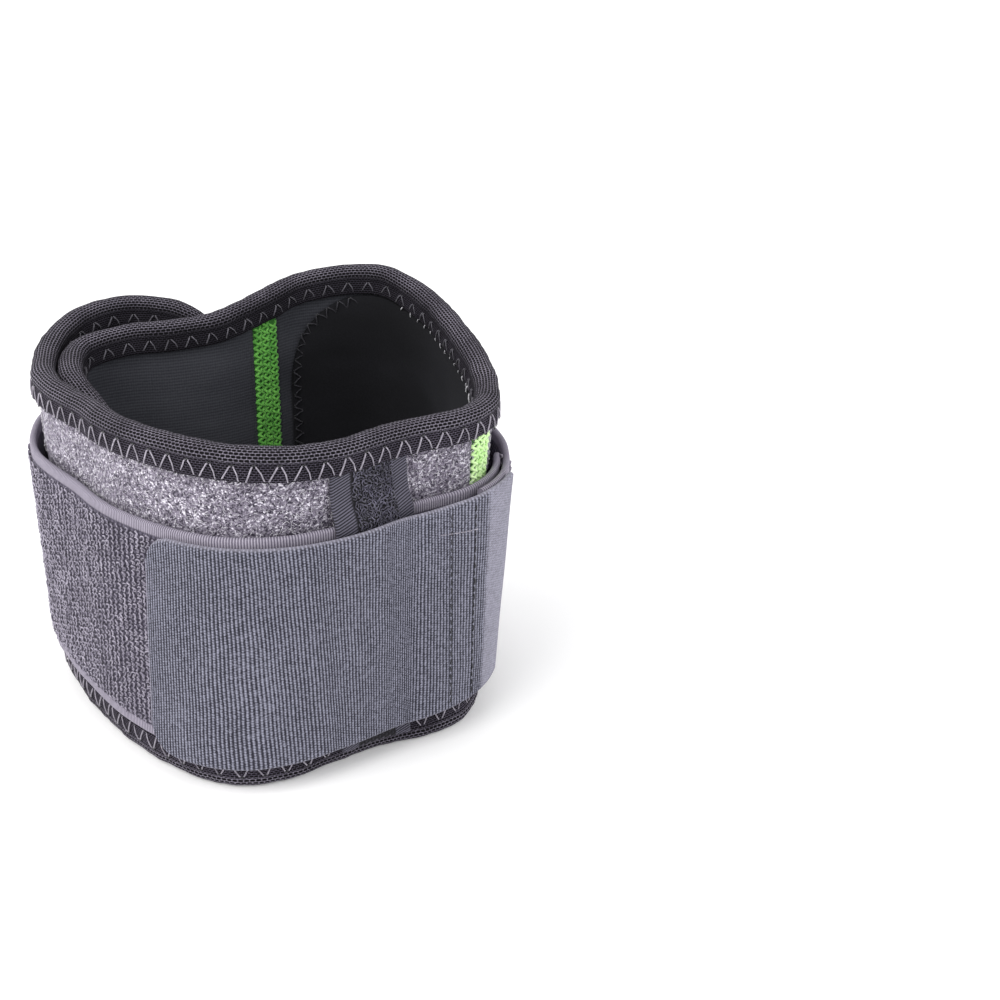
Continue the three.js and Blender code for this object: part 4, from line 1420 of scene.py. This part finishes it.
sew("nap", filament, NAP, nap_guide, NAP_YARN, "cloth", density=0.95e6, lean=0.7, spin=3.14, uneven=0.35, seed=15)

# %% [markdown]
# ## Stitches on the tail and the strap's start
# A row of short stitches runs down the tail where it is sewn to the strap, with one long thread
# end. The strap's start is overcast with pale loops.

# %% Tail and strap stitches
dash = thread("dash_pattern", [(-0.75, 0, -0.2), (-0.5, 0, 0.12), (0.5, 0, 0.12), (0.75, 0, -0.2)], 0.13, sides=4, smooth=2)


def tape_line(name, lengths, ups, out_):
    spot = tape_point(lengths, ups, out_ + 0 * ups)
    lifted = tape_point(lengths, ups, out_ + 0.2 * MM + 0 * ups)
    return guide_mesh(name, spot, unit(lifted - spot))


down = np.linspace(2.5 * MM, 47.5 * MM, 40)
for k, sewn_at in enumerate((tail_start + 17.2 * MM, tail_start + 12 * MM)):
    sew(f"tail_stitches_{k}", dash, ROW,
        tape_line(f"tail_stitch_guide_{k}", sewn_at + 0 * down, down, TAIL_INNER + TAPE),
        DARK_THREAD, "hook_tape", pitch=1.9 * MM, lean=0.05, spin=0.2, uneven=0.2, seed=5 + k)
top_run = np.linspace(tail_start + 12 * MM, tail_start + 19 * MM, 8)
sew("tail_top_stitches", dash, ROW,
    tape_line("tail_top_guide", top_run, 42.5 * MM + 0.2 * (top_run - top_run[0]), TAIL_INNER + TAPE),
    PALE_THREAD, "hook_tape", pitch=1.5 * MM, lean=0.05, spin=0.1, uneven=0.05, seed=6)

overcast = thread("overcast_pattern", [
    (-0.4, -1.5, -0.4), (-0.2, -1.0, 0.3), (0.1, 0.2, 0.55), (0.5, 0.9, 0.4), (0.75, 0.4, 0.3), (0.6, -0.4, 0.1),
], 0.2, sides=5, smooth=2)
start_up = np.linspace(3 * MM, 49 * MM, 40)
sew("strap_start_stitches", overcast, ROW,
    tape_line("strap_start_guide", 1.2 * MM + 0 * start_up, start_up, STRAP_OUTER),
    PALE_THREAD, "loop_tape", pitch=1.7 * MM, lean=0.1, spin=0.2, uneven=0.12, seed=7)

# %% [markdown]
# ## Seam round the cushion
# The cushion's cover is sewn down with a dark zigzag just inside its edge.

# %% Cushion seam
left = pad_start + 1.3 * MM
inner_radius = PAD_CORNER - 1.3 * MM
corner = np.radians(np.linspace(0, 80, 24))
corner_low = float(np.interp(pad_start + PAD_CORNER, pad_along, pad_low)) + PAD_CORNER
corner_high = float(np.interp(pad_start + PAD_CORNER, pad_along, pad_high)) - PAD_CORNER
edge_u = np.concatenate([
    (pad_start + PAD_CORNER - inner_radius * np.cos(corner))[::-1], np.full(20, left),
    pad_start + PAD_CORNER - inner_radius * np.cos(corner),
])
edge_v = np.concatenate([
    (corner_low - inner_radius * np.sin(corner))[::-1], np.linspace(corner_low, corner_high, 22)[1:-1],
    corner_high + inner_radius * np.sin(corner),
])
seam_out = pad_back - PAD_EDGE - 0.12 * MM
spot = puffed(edge_u, edge_v, seam_out + 0 * edge_u)
lifted = puffed(edge_u, edge_v, seam_out - 0.2 * MM + 0 * edge_u)
sew("cushion_seam", small_zigzag, ROW, guide_mesh("cushion_seam_guide", spot, unit(lifted - spot)),
    SEAM_THREAD, "pad", pitch=2.9 * MM, lean=0.05, spin=0.12, uneven=0.12, seed=8)

# Short bright stitches show where the cushion's far edge meets the flap, longer ones in the corner
tick = thread("tick_pattern", [
    (-0.35, -1.1, -0.3), (-0.2, -0.75, 0.2), (0.15, 0.1, 0.35), (0.2, 0.8, -0.3),
], 0.14, sides=5)
long_tick = thread("long_tick_pattern", [
    (-0.5, -1.9, -0.3), (-0.35, -1.5, 0.25), (0.1, -0.4, 0.5), (0.3, 0.6, 0.3), (0.3, 0.9, -0.3),
], 0.21, sides=5)
for name, pattern, start, end, step, colour in (
    ("far_edge_stitches", tick, 222, 268, 3.3 * MM, BRIGHT_THREAD),
    ("corner_stitches", long_tick, 270, 293, 3.6 * MM, BRIGHT_THREAD),
):
    far_turn = np.linspace(start, end, 60)
    level = top_at(far_turn) - FLAP + 0.1 * MM
    far_spot = on_band(far_turn, level, -FLAP_OUTER - 0.1 * MM)
    far_lift = on_band(far_turn, level, -FLAP_OUTER - 0.3 * MM)
    sew(name, pattern, ROW, guide_mesh(f"{name}_guide", far_spot, unit(far_lift - far_spot)),
        colour, "binding", pitch=step, lean=0.12, spin=0.35, uneven=0.2, seed=21)

for pattern in (zigzag, small_zigzag, tick, long_tick, holes, yarn_up, yarn_down, arch, small_arch, filament, dash, overcast):
    bpy.data.objects.remove(pattern)

# %% [markdown]
# ## Floor
# A plain pale floor runs out of the picture on all sides.

# %% Floor
half = 3.0
floor = as_object("floor", [(-half, -half, 0), (half, -half, 0), (half, half, 0), (-half, half, 0)], [[0, 1, 2, 3]])
white = bpy.data.materials.new("floor_white")
white.use_nodes = True
white.node_tree.nodes["Principled BSDF"].inputs["Base Color"].default_value = (0.9, 0.9, 0.9, 1)
white.node_tree.nodes["Principled BSDF"].inputs["Roughness"].default_value = 0.9
white.node_tree.nodes["Principled BSDF"].inputs["Emission Color"].default_value = (1, 1, 1, 1)
white.node_tree.nodes["Principled BSDF"].inputs["Emission Strength"].default_value = 0.12
floor.data.materials.append(white)
